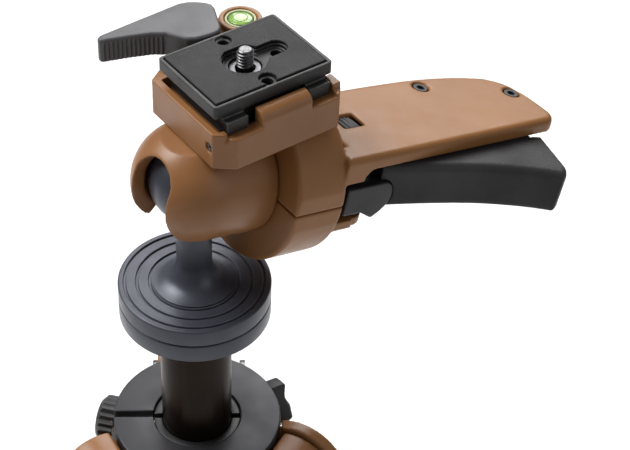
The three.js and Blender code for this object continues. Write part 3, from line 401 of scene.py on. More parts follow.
# Colours are linear. grain is how many grains fit in a metre.
finishSettings = {
    "tanPaint": {"color": (0.256, 0.114, 0.041), "deep": (0.224, 0.097, 0.034), "wornAndHighlight": (0.52, 0.31, 0.17),
                 "rough": (0.30, 0.40), "metallic": 0.0, "grain": 2600, "depth": 0.00003, "wearAndHighlight": 0.45},
    "tanShell": {"color": (0.266, 0.116, 0.036), "deep": (0.244, 0.104, 0.031), "wornAndHighlight": (0.52, 0.31, 0.17),
                 "rough": (0.34, 0.44), "metallic": 0.0, "grain": 3200, "depth": 0.00002, "wearAndHighlight": 0.45},
    "collarPaint": {"color": (0.040, 0.040, 0.043), "deep": (0.031, 0.031, 0.034), "wornAndHighlight": (0.17, 0.17, 0.18),
                    "rough": (0.38, 0.48), "metallic": 0.55, "grain": 3000, "depth": 0.00002, "wearAndHighlight": 0.45},
    "blackPlastic": {"color": (0.016, 0.016, 0.018), "deep": (0.011, 0.011, 0.012),
                     "wornAndHighlight": (0.06, 0.06, 0.06),
                     "rough": (0.36, 0.50), "metallic": 0.0, "grain": 3600, "depth": 0.00002, "wearAndHighlight": 0.45},
    # the camera plate's light edge colour and high edge amount paint a highlight along its rims, on top of real
    # edge wear
    "plateCasting": {"color": (0.048, 0.047, 0.047), "deep": (0.035, 0.034, 0.034),
                     "wornAndHighlight": (0.30, 0.30, 0.30),
                     "rough": (0.38, 0.52), "metallic": 0.6, "grain": 2600, "depth": 0.00003, "wearAndHighlight": 0.85},
    "leverPaint": {"color": (0.078, 0.076, 0.080), "deep": (0.064, 0.062, 0.066), "wornAndHighlight": (0.26, 0.26, 0.27),
                   "rough": (0.40, 0.50), "metallic": 0.1, "grain": 2400, "depth": 0.00004, "wearAndHighlight": 0.45},
    "brassMetal": {"color": (0.56, 0.39, 0.14), "deep": (0.46, 0.31, 0.10), "wornAndHighlight": (0.70, 0.52, 0.25),
                   "rough": (0.25, 0.42), "metallic": 1.0, "grain": 1800, "depth": 0.00001, "wearAndHighlight": 0.45},
    "whiteAcetal": {"color": (0.40, 0.42, 0.20), "deep": (0.32, 0.34, 0.15), "wornAndHighlight": (0.55, 0.56, 0.36),
                    "rough": (0.32, 0.42), "metallic": 0.0, "grain": 2000, "depth": 0.00001, "wearAndHighlight": 0.45},
}


def coatedFinish(name):
    choice = finishSettings[name]
    material, tree, shader = newFinish(name, choice["color"], choice["rough"][0], choice["metallic"],
                                       **{"Specular IOR Level": 0.36})
    vector = placeOn(tree)
    clouds = remap(tree, noiseOn(tree, vector, 38, 3), 0.35, 0.65, 0, 1)
    body = mixColors(tree, clouds, choice["color"], choice["deep"])
    # edges go lighter: edge wear, and on the camera plate also a painted highlight along its rims
    body = mixColors(tree, edgeWearAndHighlight(tree, vector, wearAndHighlightReach, choice["wearAndHighlight"]), body, choice["wornAndHighlight"])
    tree.links.new(body, shader.inputs["Base Color"])
    smears = noiseOn(tree, vector, 120, 5)
    tree.links.new(remap(tree, smears, 0.3, 0.7, *choice["rough"]), shader.inputs["Roughness"])
    bumpFrom(tree, shader, noiseOn(tree, vector, choice["grain"], 3), choice["depth"])
    return material


anodisedSettings = {"color": (0.056, 0.060, 0.078), "deep": (0.040, 0.043, 0.058), "wornAndHighlight": (0.16, 0.17, 0.19),
                    "rough": (0.30, 0.42), "ringsPerMetre": 1500, "depth": 0.000012}


def turnedAnodised():
    # fine rings left by the lathe, round the column's axis
    choice = anodisedSettings
    material, tree, shader = newFinish("turnedAnodised", choice["color"], choice["rough"][0], 0.35)
    vector = placeOn(tree, move=(-discTop.x, -discTop.y, 0))
    rings = tree.nodes.new("ShaderNodeTexWave")
    rings.wave_type = "RINGS"
    rings.rings_direction = "Z"
    rings.inputs["Scale"].default_value = choice["ringsPerMetre"]
    rings.inputs["Distortion"].default_value = 1.2
    rings.inputs["Detail"].default_value = 2
    tree.links.new(vector, rings.inputs["Vector"])
    clouds = noiseOn(tree, vector, 60, 4)
    body = mixColors(tree, remap(tree, clouds, 0.3, 0.7, 0, 1), choice["color"], choice["deep"])
    body = mixColors(tree, edgeWearAndHighlight(tree, vector, wearAndHighlightReach, 0.5), body, choice["wornAndHighlight"])
    tree.links.new(body, shader.inputs["Base Color"])
    tree.links.new(remap(tree, clouds, 0.3, 0.7, *choice["rough"]), shader.inputs["Roughness"])
    # only on faces that look along the axis, where the tool ran
    axes = tree.nodes.new("ShaderNodeSeparateXYZ")
    tree.links.new(tree.nodes.new("ShaderNodeTexCoord").outputs["Normal"], axes.inputs[0])
    flat = remap(tree, axes.outputs["Z"], 0.6, 0.95, 0, 1)
    bumpFrom(tree, shader, multiply(tree, rings.outputs["Fac"], flat), choice["depth"])
    return material


tubeSettings = {"color": (0.024, 0.016, 0.011), "deep": (0.015, 0.010, 0.007), "rough": (0.26, 0.36),
                "linesPerMetre": 2600, "stretch": 0.004, "depth": 0.000015}


def drawnTube():
    # long faint lines down the tube, from drawing it through its die
    choice = tubeSettings
    material, tree, shader = newFinish("drawnTube", choice["color"], choice["rough"][0], 0.85)
    vector = placeOn(tree)
    stretched = placeOn(tree, scale=(1, 1, choice["stretch"]))
    lines = noiseOn(tree, stretched, choice["linesPerMetre"], 3)
    body = mixColors(tree, remap(tree, noiseOn(tree, vector, 30, 3), 0.3, 0.7, 0, 1), choice["color"],
                     choice["deep"])
    tree.links.new(body, shader.inputs["Base Color"])
    tree.links.new(remap(tree, lines, 0.3, 0.7, *choice["rough"]), shader.inputs["Roughness"])
    bumpFrom(tree, shader, lines, choice["depth"])
    return material


steelSettings = {"color": (0.16, 0.16, 0.165), "deep": (0.085, 0.085, 0.09), "rough": (0.26, 0.42),
                 "depth": 0.00001}


def machinedSteel():
    choice = steelSettings
    material, tree, shader = newFinish("machinedSteel", choice["color"], choice["rough"][0], 1.0)
    vector = placeOn(tree)
    cuts = noiseOn(tree, placeOn(tree, scale=(1, 1, 8)), 500, 4)
    body = mixColors(tree, remap(tree, cuts, 0.35, 0.65, 0, 1), choice["color"], choice["deep"])
    tree.links.new(body, shader.inputs["Base Color"])
    tree.links.new(remap(tree, noiseOn(tree, vector, 300, 4), 0.3, 0.7, *choice["rough"]),
                   shader.inputs["Roughness"])
    bumpFrom(tree, shader, cuts, choice["depth"])
    return material


rubberSettings = {
    "gripRubber": {"color": (0.026, 0.026, 0.028), "deep": (0.017, 0.017, 0.018), "rough": (0.48, 0.62),
                   "cellsPerMetre": 1900, "depth": 0.00012},
    "footRubber": {"color": (0.016, 0.016, 0.016), "deep": (0.010, 0.010, 0.010), "rough": (0.66, 0.80),
                   "cellsPerMetre": 1200, "depth": 0.00008},
}


def stippledRubber(name):
    # a fine leather-like stipple, with cloudy patches that are darker and rougher
    choice = rubberSettings[name]
    material, tree, shader = newFinish(name, choice["color"], choice["rough"][0], 0.0,
                                       **{"Specular IOR Level": 0.3})
    vector = placeOn(tree)
    cells = addNode(tree, "ShaderNodeTexVoronoi", Scale=choice["cellsPerMetre"])
    tree.links.new(vector, cells.inputs["Vector"])
    grain = multiply(tree, cells.outputs["Distance"], noiseOn(tree, vector, choice["cellsPerMetre"] / 3, 3))
    dust = remap(tree, noiseOn(tree, vector, 55, 5), 0.35, 0.7, 0, 1)
    tree.links.new(mixColors(tree, dust, choice["color"], choice["deep"]), shader.inputs["Base Color"])
    tree.links.new(remap(tree, dust, 0, 1, *choice["rough"]), shader.inputs["Roughness"])
    bumpFrom(tree, shader, grain, choice["depth"])
    return material


padSettings = {"color": (0.021, 0.021, 0.023), "dot": (0.009, 0.009, 0.010), "rough": (0.55, 0.68),
               "dotsPerMetre": 1650, "depth": 0.0002}


def dottedPad():
    # rows of small raised dots, in line with the plate's sides
    choice = padSettings
    material, tree, shader = newFinish("dottedPad", choice["color"], choice["rough"][0], 0.0)
    turn = -math.atan2(headAlong.y, headAlong.x)
    turned = placeOn(tree, turn=(0, 0, turn))
    dots = addNode(tree, "ShaderNodeTexVoronoi", Scale=choice["dotsPerMetre"], Randomness=0.0)
    dots.voronoi_dimensions = "2D"
    tree.links.new(turned, dots.inputs["Vector"])
    raised = remap(tree, dots.outputs["Distance"], 0.18, 0.48, 1, 0)
    body = mixColors(tree, raised, choice["dot"], choice["color"])
    tree.links.new(body, shader.inputs["Base Color"])
    tree.links.new(remap(tree, noiseOn(tree, turned, 90, 4), 0.3, 0.7, *choice["rough"]),
                   shader.inputs["Roughness"])
    bumpFrom(tree, shader, raised, choice["depth"])
    return material


levelSettings = {"color": (0.36, 0.60, 0.13), "deep": (0.24, 0.46, 0.07)}


def levelLiquid():
    choice = levelSettings
    material, tree, shader = newFinish("levelLiquid", choice["color"], 0.06, 0.0, IOR=1.45,
                                       **{"Transmission Weight": 0.35, "Coat Weight": 0.6,
                                          "Coat Roughness": 0.03})
    swirl = remap(tree, noiseOn(tree, placeOn(tree), 220, 2), 0.35, 0.65, 0, 1)
    tree.links.new(mixColors(tree, swirl, choice["color"], choice["deep"]), shader.inputs["Base Color"])
    tree.links.new(remap(tree, swirl, 0, 1, 0.05, 0.12), shader.inputs["Roughness"])
    return material


def levelBubble():
    material, tree, shader = newFinish("levelBubble", (0.86, 0.96, 0.55), 0.05, 0.0, IOR=1.1,
                                       **{"Transmission Weight": 0.3, "Coat Weight": 0.5})
    cloud = remap(tree, noiseOn(tree, placeOn(tree), 400, 2), 0.3, 0.7, 0.04, 0.1)
    tree.links.new(cloud, shader.inputs["Roughness"])
    return material


tanPaint = coatedFinish("tanPaint")
tanShell = coatedFinish("tanShell")
collarPaint = coatedFinish("collarPaint")
blackPlastic = coatedFinish("blackPlastic")
plateCasting = coatedFinish("plateCasting")
leverPaint = coatedFinish("leverPaint")
brassMetal = coatedFinish("brassMetal")
whiteAcetal = coatedFinish("whiteAcetal")
anodised = turnedAnodised()
tubeFinish = drawnTube()
steel = machinedSteel()
gripRubber = stippledRubber("gripRubber")
footRubber = stippledRubber("footRubber")
padRubber = dottedPad()
liquid = levelLiquid()
bubbleFinish = levelBubble()
print("finishes made")


# heights of a node above the base disc's top, and above the ball's centre

def heightsOf(node, origin=discTop):
    low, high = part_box(node)
    return (low.z - origin.z) / millimetre, (high.z - origin.z) / millimetre


def radiusOf(node):
    low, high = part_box(node)
    return (high.x - low.x) / 2 / millimetre


# column

discSizes = {"edge": 0.7, "grooves": (17.5, 22.5, 27.3), "grooveWidth": 1.0, "grooveDepth": 0.8, "lip": 0.22}


def makeBaseDisc():
    s = discSizes
    radius = radiusOf("head_base_disc")
    bottom = heightsOf("head_base_disc")[0]
    edge = s["edge"]
    profile = [(0, bottom), *arcPoints((radius - edge, bottom + edge), edge, -90, 0, 6),
               *arcPoints((radius - edge, -edge), edge, 0, 90, 6)]
    for groove in reversed(s["grooves"]):
        half = s["grooveWidth"] / 2
        profile += [(groove + half + s["lip"], 0), (groove + half, -s["lip"]),
                    (groove + half - 0.1, -s["grooveDepth"]), (groove - half + 0.1, -s["grooveDepth"]),
                    (groove - half, -s["lip"]), (groove - half - s["lip"], 0)]
    profile.append((0, 0))
    settle(spinProfile(profile, 192), "baseDisc", columnFrame, "column", "head_base_disc",
           anodised)


columnSizes = {"wall": 1.7, "gap": 0.3, "spigotInset": 2, "plug": 12, "capInset": 2.5, "capRise": 2.2,
               "dimple": 5, "dimpleEdge": 6, "dimpleDepth": 0.8}


def makeColumn():
    s = columnSizes
    radius = radiusOf("column_top_plate")
    bottom, top = heightsOf("column_top_plate")
    tubeBottom, tubeTop = heightsOf("column_tube")
    tubeRadius = radiusOf("column_tube")
    plateBottom = tubeTop + s["gap"]
    spigot = tubeRadius - s["spigotInset"]
    profile = [(0, bottom), (spigot, bottom), (spigot, plateBottom), (radius, plateBottom), (radius, top),
               (0, top)]
    plate = soften(spinProfile(profile, 160), 0.6, 4)
    settle(plate, "topPlate", columnFrame, "column", "column_top_plate", anodised)
    wall = s["wall"]
    profile = [(tubeRadius - wall, tubeBottom), (tubeRadius, tubeBottom), (tubeRadius, tubeTop),
               (tubeRadius - wall, tubeTop)]
    tube = soften(spinProfile(profile, 128), 0.35, 2)
    settle(tube, "columnTube", columnFrame, "column", "column_tube", tubeFinish)
    capBottom = heightsOf("column_end_cap")[0]
    capTop = tubeBottom - s["gap"]
    plugTop = tubeBottom + s["plug"]
    profile = [(0, capBottom + s["dimpleDepth"]), (s["dimple"], capBottom + s["dimpleDepth"]),
               (s["dimpleEdge"], capBottom), (tubeRadius - s["capInset"], capBottom),
               (tubeRadius, capBottom + s["capRise"]), (tubeRadius, capTop), (spigot, capTop),
               (spigot, plugTop), (0, plugTop)]
    cap = soften(spinProfile(profile, 96), 0.5, 3)
    settle(cap, "columnEndCap", columnFrame, "column", "column_end_cap", blackPlastic)


ballSizes = {"radius": 16.5, "stem": 6.9, "foot": 16.3, "footHeight": 10.5, "edge": 0.25}


def makeBallAndStem():
    s = ballSizes
    bottom = heightsOf("ball_and_stem", ballCentre)[0]
    foot = (s["foot"], bottom + s["edge"])
    meet = math.degrees(math.asin(s["stem"] / s["radius"]))
    profile = [(0, bottom), (s["foot"], bottom), foot]
    profile += bendTo(foot, (s["stem"] + 0.6, bottom + 1.3), (s["stem"], bottom + s["footHeight"]), 24)
    profile += arcPoints((0, 0), s["radius"], meet - 90, 89.9, 40)
    profile.append((0, s["radius"]))
    piece = spinProfile(profile, 128)
    settle(piece, "ballAndStem", headFrame, "column", "ball_and_stem", anodised)


collarSizes = {"bore": 18.2, "slit": 3.0, "bushingInner": 14.7, "bushingOuter": 17.9,
               "bushingSlit": 2.4}


def makeCollar():
    s = collarSizes
    radius = radiusOf("column_collar")
    bottom, top = heightsOf("column_collar")
    profile = [(s["bore"], bottom), (radius, bottom), (radius, top), (s["bore"], top)]
    collar = spinProfile(profile, 160)
    slit = addBlock((-radius - 1, 0), (-s["slit"] / 2, s["slit"] / 2), (bottom - 1, top + 1))
    soften(carve(collar, slit), 0.8, 4)
    settle(collar, "columnCollar", columnFrame, "base", "column_collar", collarPaint)
    low, high = heightsOf("column_bushing")
    profile = [(s["bushingInner"], low), (s["bushingOuter"], low), (s["bushingOuter"], high),
               (s["bushingInner"], high)]
    bushing = spinProfile(profile, 128)
    half = s["bushingSlit"] / 2
    reach = s["bushingOuter"] + 1
    carve(bushing, addBlock((-reach, 0), (-half, half), (low - 1, high + 1)),
          addBlock((0, reach), (-half, half), (low + 34, high + 1)))
    soften(bushing, 0.3, 2)
    settle(bushing, "columnBushing", columnFrame, "base", "column_bushing", blackPlastic)


# hub and its two locks

hubSizes = {"radius": 27, "bore": 18.2, "pivotRadius": 42, "pivotHeight": -97, "earRadius": 20,
            "earInside": 12.1, "earOutside": 17.7, "boltHole": 4.3, "bossRadius": 6, "bossEnd": 34,
            "underCollar": 35.6, "knobAzimuth": 165, "leverAzimuth": 27}
legAzimuths = {number: math.atan2(axisOf(f"leg_{number}_catch_pull").y, axisOf(f"leg_{number}_catch_pull").x)
               for number in legNumbers}
lockHeight = (joints["column_knob_turn"]["pos_m"][2] - discTop.z) / millimetre


def makeHub():
    s = hubSizes
    bottom, top = (heightsOf("column_bushing")[0] - 4, heightsOf("column_collar")[0] - 0.3)
    hub = addRod("z", s["radius"], bottom, top, sides=128)
    for azimuth in (s["knobAzimuth"], s["leverAzimuth"]):
        boss = addRod("x", s["bossRadius"], 20, s["bossEnd"], (0, 0, lockHeight), 48)
        weld(hub, turnAbout(boss, "z", math.radians(azimuth)))
    webLow = s["pivotHeight"] - 0.9 * s["earRadius"]
    for azimuth in legAzimuths.values():
        for side in (-1, 1):
            near, far = sorted((side * s["earInside"], side * s["earOutside"]))
            ear = addRod("y", s["earRadius"], near, far, (s["pivotRadius"], 0, s["pivotHeight"]), 64)
            web = addBlock((s["radius"] - 8, s["pivotRadius"]), (near, far), (webLow, s["pivotHeight"] + 10))
            weld(hub, turnAbout(ear, "z", azimuth), turnAbout(web, "z", azimuth))
    carve(hub, addRod("z", s["underCollar"], top, top + 40, sides=128),
          addRod("z", s["bore"], bottom - 1, top + 1, sides=96))
    for azimuth in legAzimuths.values():
        hole = addRod("y", s["boltHole"], -s["earOutside"] - 1, s["earOutside"] + 1,
                      (s["pivotRadius"], 0, s["pivotHeight"]), 32)
        carve(hub, turnAbout(hole, "z", azimuth))
    castSkin(hub, 0.6, 5)
    settle(hub, "spiderHub", columnFrame, "base", "spider_hub", tanPaint)


knobSizes = {"radius": 10.4, "start": 35.0, "thickness": 8.0, "ribs": 20, "shaft": 3.0, "shaftStart": 21,
             "dimple": 5.5}


def makeLockKnob():
    s = knobSizes
    end = s["start"] + s["thickness"]
    outline = []
    for step in range(s["ribs"] * 8):
        angle = 2 * math.pi * step / (s["ribs"] * 8)
        radius = s["radius"] - 0.45 + 0.45 * math.cos(angle * s["ribs"])
        outline.append((radius * math.cos(angle), radius * math.sin(angle)))
    knob = addSlab(outline, s["start"], end, "x")
    trim(knob, spinProfile([(0, s["start"] - 1), (s["radius"] - 1, s["start"] - 1),
                            (s["radius"] + 1, s["start"] + 1.2), (s["radius"] + 1, end - 3),
                            (s["radius"] - 2.2, end), (0, end + 0.01)], 96, "x"))
    dimple = spinProfile([(0, end - 1), (s["dimple"] - 0.8, end - 1), (s["dimple"], end + 1), (0, end + 1)],
                         64, "x")
    carve(knob, dimple)
    weld(knob, addRod("x", s["shaft"], s["shaftStart"], s["start"] + 1, sides=32))
    soften(knob, 0.25, 2)
    shift(knob, (0, 0, lockHeight))
    turnAbout(knob, "z", math.radians(hubSizes["knobAzimuth"]))
    settle(knob, "columnLockKnob", columnFrame, "column_knob", "column_lock_knob",
           blackPlastic)


wingSizes = {"radius": 9.0, "reach": 12.0, "thickness": 7.0}


def makeLockLever():
    s = wingSizes
    radius = s["radius"]
    start = knobSizes["start"]
    wing = [(-radius, 0), (-radius * 0.5, -radius * 0.8), (radius * 0.5, -radius * 0.8), (radius, 0),
            (radius * 0.62, s["reach"]), (-radius * 0.1, s["reach"] + 2)]
    lever = addSlab(wing, start, start + s["thickness"], "x")
    bevelRim(lever, 2.2, 4, lambda point: point.x > start + s["thickness"] - 0.1)
    finger = addRod("y", 5.5, -12, 12, (start + s["thickness"] + 3.4, 0, 8.5), 64)
    carve(lever, finger)
    weld(lever, addRod("x", knobSizes["shaft"], knobSizes["shaftStart"], start + 1, sides=32))
    soften(lever, 0.6, 3, 40)
    shift(lever, (0, 0, lockHeight))
    turnAbout(lever, "z", math.radians(hubSizes["leverAzimuth"]))
    settle(lever, "columnLockLever", columnFrame, "column_lever", "column_lock_lever",
           blackPlastic)


makeBaseDisc()
makeColumn()
makeBallAndStem()
makeCollar()
makeHub()
makeLockKnob()
makeLockLever()
print("column, collar, hub and locks made")


# legs: modelled once in the leg's own frame, X outwards and the leg running down -Z

legSizes = {"half": 11.8, "headRadius": 18.4, "neck": 14.6, "neckEnd": 56, "socket": 12.1,
            "socketTop": 22, "toHub": 14.4, "spread": 23, "upperRadius": 11.8, "upperWall": 1.3,
            "upperTop": 22.3, "upperBottom": 400.3, "lowerRadius": 9.6, "lowerWall": 1.2, "lowerTop": 84,
            "lowerBottom": 455.65, "clampTop": 384.3, "clampBottom": 420.3, "clampRadius": 15.5,
            "clampHinge": 18.5, "hingeDrop": 6, "boltHole": 4.3, "footTop": 447.65, "footRadius": 12.4,
            "floor": 436}


def makeYoke():
    s = legSizes
    half = s["half"]
    yoke = addRod("y", s["headRadius"], -half, half, sides=96)
    weld(yoke, addBlock((-s["toHub"], s["neck"]), (-half, half), (-30, 0)),
         addRod("z", s["neck"], -s["neckEnd"], -8, sides=96))
    spread = math.radians(s["spread"])
    wide = 2 * half
    carve(yoke, addBlock((-40, 40), (half, 3 * half), (-20.6, 20)),
          addBlock((-40, 40), (-3 * half, -half), (-20.6, 20)),
          turnAbout(addBlock((-74, -s["toHub"]), (-wide, wide), (-112, 37)), "y", spread),
          *[turnAbout(addBlock((-74, -6.4), (-wide, wide), (12.4, 37)), "y", spread * step / 6)
            for step in range(7)],
          addBlock((-74, -s["toHub"]), (-wide, wide), (-30.5, 37)),
          addRod("z", s["socket"], -s["neckEnd"] - 1, -s["socketTop"], sides=64),
          addRod("y", s["boltHole"], -half - 1, half + 1, sides=32),
          addBlock((8.3, 35), (-5.8, 5.8), (-21.3, -8.7)))
    return castSkin(yoke, 0.6, 4)


boltSizes = {"reach": 18.0, "end": 20.4, "head": 6.6, "shank": 4.0, "socket": 2.9, "socketDepth": 1.6}


def makeBolt():
    s = boltSizes
    reach, end, head, shank = s["reach"], s["end"], s["head"], s["shank"]
    bolt = spinProfile([(0, -end), (head, -end), (head, -reach), (shank, -reach), (shank, reach),
                        (head, reach), (head, end), (0, end)], 64)
    for side in (-1, 1):
        low, high = sorted((side * (end - s["socketDepth"]), side * (end + 1)))
        carve(bolt, addRod("z", s["socket"], low, high, sides=6))
    soften(bolt, 0.45, 3)
    return turnAbout(bolt, "x", math.pi / 2)


def makeTube(radius, wall, top, bottom):
    profile = [(radius - wall, -bottom), (radius, -bottom), (radius, -top), (radius - wall, -top)]
    return soften(spinProfile(profile, 96), 0.3, 2)


def makeClampBody():
    s = legSizes
    radius, hinge, top, bottom = s["clampRadius"], s["clampHinge"], s["clampTop"], s["clampBottom"]
    clamp = spinProfile([(0, -bottom), (radius - 1.5, -bottom), (radius, -bottom + 1.5), (radius, -top - 1.5),
                         (radius - 1.5, -top), (0, -top)], 96)
    weld(clamp, addBlock((0, hinge + 3), (-10.5, 10.5), (-top - 12, -top - 1)))
    carve(clamp, addBlock((radius + 0.2, hinge + 6), (-7.8, 7.8), (-bottom - 1, -top + 1)),
          addRod("z", s["upperRadius"] + slipFit, -s["upperBottom"] - 0.3, -top + 1, sides=64),
          addRod("z", s["lowerRadius"] + slipFit, -bottom - 1, -top, sides=64),
          addRod("y", 1.9, -radius, radius, (hinge, 0, -top - s["hingeDrop"]), 24))
    for height in (-bottom + 8, -bottom + 12, -bottom + 16):
        carve(clamp, spinProfile([(radius - 0.5, height), (radius + 2, height), (radius + 2, height + 1.2),
                                  (radius - 0.5, height + 1.2)], 96))
    return castSkin(clamp, 0.5, 3)


flipSizes = {"half": 7.5, "eye": 2.7, "pin": 1.6, "pinHalf": 10.1, "grooves": (-14, -16.5, -19, -21.5),
             "groove": 0.5}
flipBlade = [(-1.6, 0), (2.4, 2), (3.4, -21.6), (2, -27), (-1.2, -25)]


def makeFlipLever():
    s = flipSizes
    half = s["half"]
    hinge, top = legSizes["clampHinge"], legSizes["clampTop"]
    lever = addSlab(flipBlade, -half, half, "y")
    weld(lever, addRod("y", s["eye"], -half, half, sides=48),
         addRod("y", s["pin"], -s["pinHalf"], s["pinHalf"], sides=32))
    for height in s["grooves"]:
        carve(lever, addRod("y", s["groove"], -9, 9, (3.6, 0, height), 16))
    soften(lever, 0.4, 2)
    return shift(lever, (hinge, 0, -top - legSizes["hingeDrop"]))


catchSizes = {"out": (8.6, 17.6), "half": 5.5, "heights": (-21, -9), "groove": 0.55,
              "grooves": (-18.5, -16.2, -13.9, -11.6)}


def makeCatch():
    s = catchSizes
    tab = addBlock(s["out"], (-s["half"], s["half"]), s["heights"])
    for height in s["grooves"]:
        carve(tab, addRod("y", s["groove"], -7, 7, (17.7, 0, height), 16))
    return soften(tab, 0.5, 3)


def makeFoot():
    s = legSizes
    radius = s["footRadius"]
    depth = s["floor"] / math.cos(math.radians(s["spread"])) + radius
    profile = [(0, -depth), (radius - 0.6, -depth)]
    ridge = -s["footTop"] - 24
    while ridge < -s["footTop"] - 7:
        profile += [(radius, ridge), (radius, ridge + 2.2), (radius - 0.8, ridge + 2.7),
                    (radius - 0.8, ridge + 3.5)]
        ridge += 4
    profile += [(radius, ridge), (radius - 0.6, -s["footTop"] - 1.5), (radius - 2, -s["footTop"]),
                (0, -s["footTop"])]
    foot = spinProfile(profile, 96)
    below = addBlock((-300, 300), (-100, 100), (-s["floor"] - 100, -s["floor"]))
    carve(foot, addRod("z", s["lowerRadius"] + slipFit, -s["lowerBottom"] - 0.3, -s["footTop"] + 1, sides=64),
          turnAbout(below, "y", math.radians(s["spread"])))
    return soften(foot, 0.3, 2, 40)


def makeLegs():
    s = legSizes
    masters = {
        "legYoke": (makeYoke(), "leg_{}", "leg_yoke_{}", "tan_paint", tanPaint),
        "legUpperTube": (makeTube(s["upperRadius"], s["upperWall"], s["upperTop"], s["upperBottom"]),
                         "leg_{}", "leg_upper_tube_{}", "dark_tube", tubeFinish),
        "legClamp": (makeClampBody(), "leg_{}", "leg_clamp_{}", "satin_black", blackPlastic),
        "legFlipLever": (makeFlipLever(), "leg_{}_flip", "leg_clamp_lever_{}", "satin_black", blackPlastic),
        "legAngleCatch": (makeCatch(), "leg_{}_catch", "leg_angle_catch_{}", "satin_black", blackPlastic),
        "legLowerTube": (makeTube(s["lowerRadius"], s["lowerWall"], s["lowerTop"], s["lowerBottom"]),
                         "leg_{}_lower", "leg_lower_tube_{}", "dark_tube", tubeFinish),
        "legFoot": (makeFoot(), "leg_{}_lower", "leg_foot_{}", "foot_rubber", footRubber),
        "legBolt": (makeBolt(), "base", "leg_pivot_bolt_{}", "bright_steel", steel),
    }
    for name, (master, body, node, slotName, finish) in masters.items():
        for number in legNumbers:
            piece = copyOf(master) if number < legNumbers[-1] else master
            if "cast" in master:
                piece["cast"] = True
            settle(piece, f"{name}{number}", legFrame(number), body.format(number), node.format(number),
                   finish)


makeLegs()
print("legs made")


# ball housing

housingSizes = {"radius": 23.2, "bore": 17.9, "neck": 22.7, "slot": 9.6, "slotTop": 24, "openAngle": 46,
                "neckBore": 11.2, "seat": 20.3, "slotTurn": 6, "sideStart": 8.4}


def makeHousing():
    s = housingSizes
    radius, slot = s["radius"], s["slot"]
    reach = radius + 6
    profile = arcPoints((0, 0), radius, -90, 0, 48)
    profile[0] = (0, -radius)
    shell = spinProfile(profile + [(radius, s["neck"]), (0, s["neck"])], 128, "x")
    hollow = addBall(s["bore"], segments=96)
    carve(turnAbout(shell, "y", gripTilt), hollow,
          turnAbout(addRod("x", s["neckBore"], 4, s["neck"] + 1, sides=64), "y", gripTilt))
    start = 180 - s["slotTop"]
    fan = [(0, 0), *arcPoints((0, 0), reach, start, 270, 20)]
    tools = [addSlab(fan, -slot, slot, "y"),
             turnAbout(addRod("x", slot, 0, reach, sides=64), "y", math.radians(-start)),
             addRod("z", slot, -reach, 0, sides=64),
             turnAbout(addRod("z", slot, -reach, 0, sides=64), "y", math.radians(-7))]
    cone = spinProfile([(0, -reach), (reach * math.tan(math.radians(s["openAngle"])), -reach), (0, 0)], 96)
    side = trim(cone, addBlock((-farPast, s["sideStart"]), (-farPast, farPast), (-reach - 1, 0)))
    for tool in tools:
        carve(shell, turnAbout(tool, "z", math.radians(s["slotTurn"])))
    carve(shell, side)
    carve(shell, addBlock((-farPast, farPast), (-farPast, farPast), (s["seat"], farPast)))
    castSkin(shell, 0.42, 26)
    settle(shell, "ballHousing", headFrame, "head", "ball_housing", tanPaint)


# grip: X along its axis, Y across it away from the hand, Z up from the seam between its shells

gripSizes = {"start": 23.0, "end": 46.0, "radius": 35.0, "flat": 34.3, "seam": 0.15, "panelTop": 20.0,
             "panelBottom": 14.0, "front": -33.5, "corner": 6.0, "rim": 2.7, "floor": -14.0, "palmStep": 76.0,
             "palmNear": -16.5, "palmFar": -12.0, "ledge": 54.5, "ledgeHeight": 9.0, "ledgeFillet": 4.0}
panelBack = [(70, 12.6), (92, 12), (112, 10.7), (130, 7.4), (143, 3)]
panelEnd = [(143, 3), (149.4, -3.4), (152.4, -12), (153.2, -22)]
screwPlaces = [(110, 4), (147, -11)]
screwSizes = {"head": 3.0, "recess": 3.5, "shank": 1.7, "depth": 2.6, "socket": 1.7}
wheelSizes = {"along": 62, "across": -9, "radius": 9.0, "width": 8.0, "axle": 1.8, "height": 10.4, "ribs": 30}


def panelOutline():
    s = gripSizes
    tail = panelEnd[-1][0]
    corner = arcPoints((tail - s["corner"], s["front"] + s["corner"]), s["corner"], -90, 0, 12)
    back = curveThrough(panelBack, 6)
    end = curveThrough(panelEnd, 6)
    return [(44, s["front"]), *corner, *end[::-1], *back[::-1][1:], (44, panelBack[0][1] + 1)]


def palmOutline():
    s = gripSizes
    back = curveThrough(panelBack, 6)
    return [(44, panelBack[0][1] + 1), *back, (149.3, -3.4), (152.3, -11.5), (152.3, s["palmFar"]),
            (s["palmStep"] + 4, s["palmFar"]), (s["palmStep"], s["palmNear"]), (44, s["palmNear"])]


def makeBarrelHalf(bottom, top):
    s = gripSizes
    half = spinProfile([(0, s["start"]), (s["radius"] - 1, s["start"]), (s["radius"], s["start"] + 1),
                        (s["radius"], s["end"] - 1.6), (s["radius"] - 1.6, s["end"]), (0, s["end"])],
                       128, "x")
    return trim(half, addBlock((0, 200), (-s["flat"], s["flat"]), (bottom, top)))


def wheelRoom():
    s = wheelSizes
    half = s["width"] / 2 + 0.4
    centre = (s["along"], s["across"], s["height"])
    return [addRod("y", s["radius"] + 0.5, -half, half, (s["along"], s["across"], s["height"]), 64),
            addBlock((s["along"] - 5, s["along"] + 5), (s["across"] - half, s["across"] + half),
                     (s["height"], 22)),
            addRod("y", s["axle"] + slipFit, -half - 2.6, half + 2.6, centre, 32)]


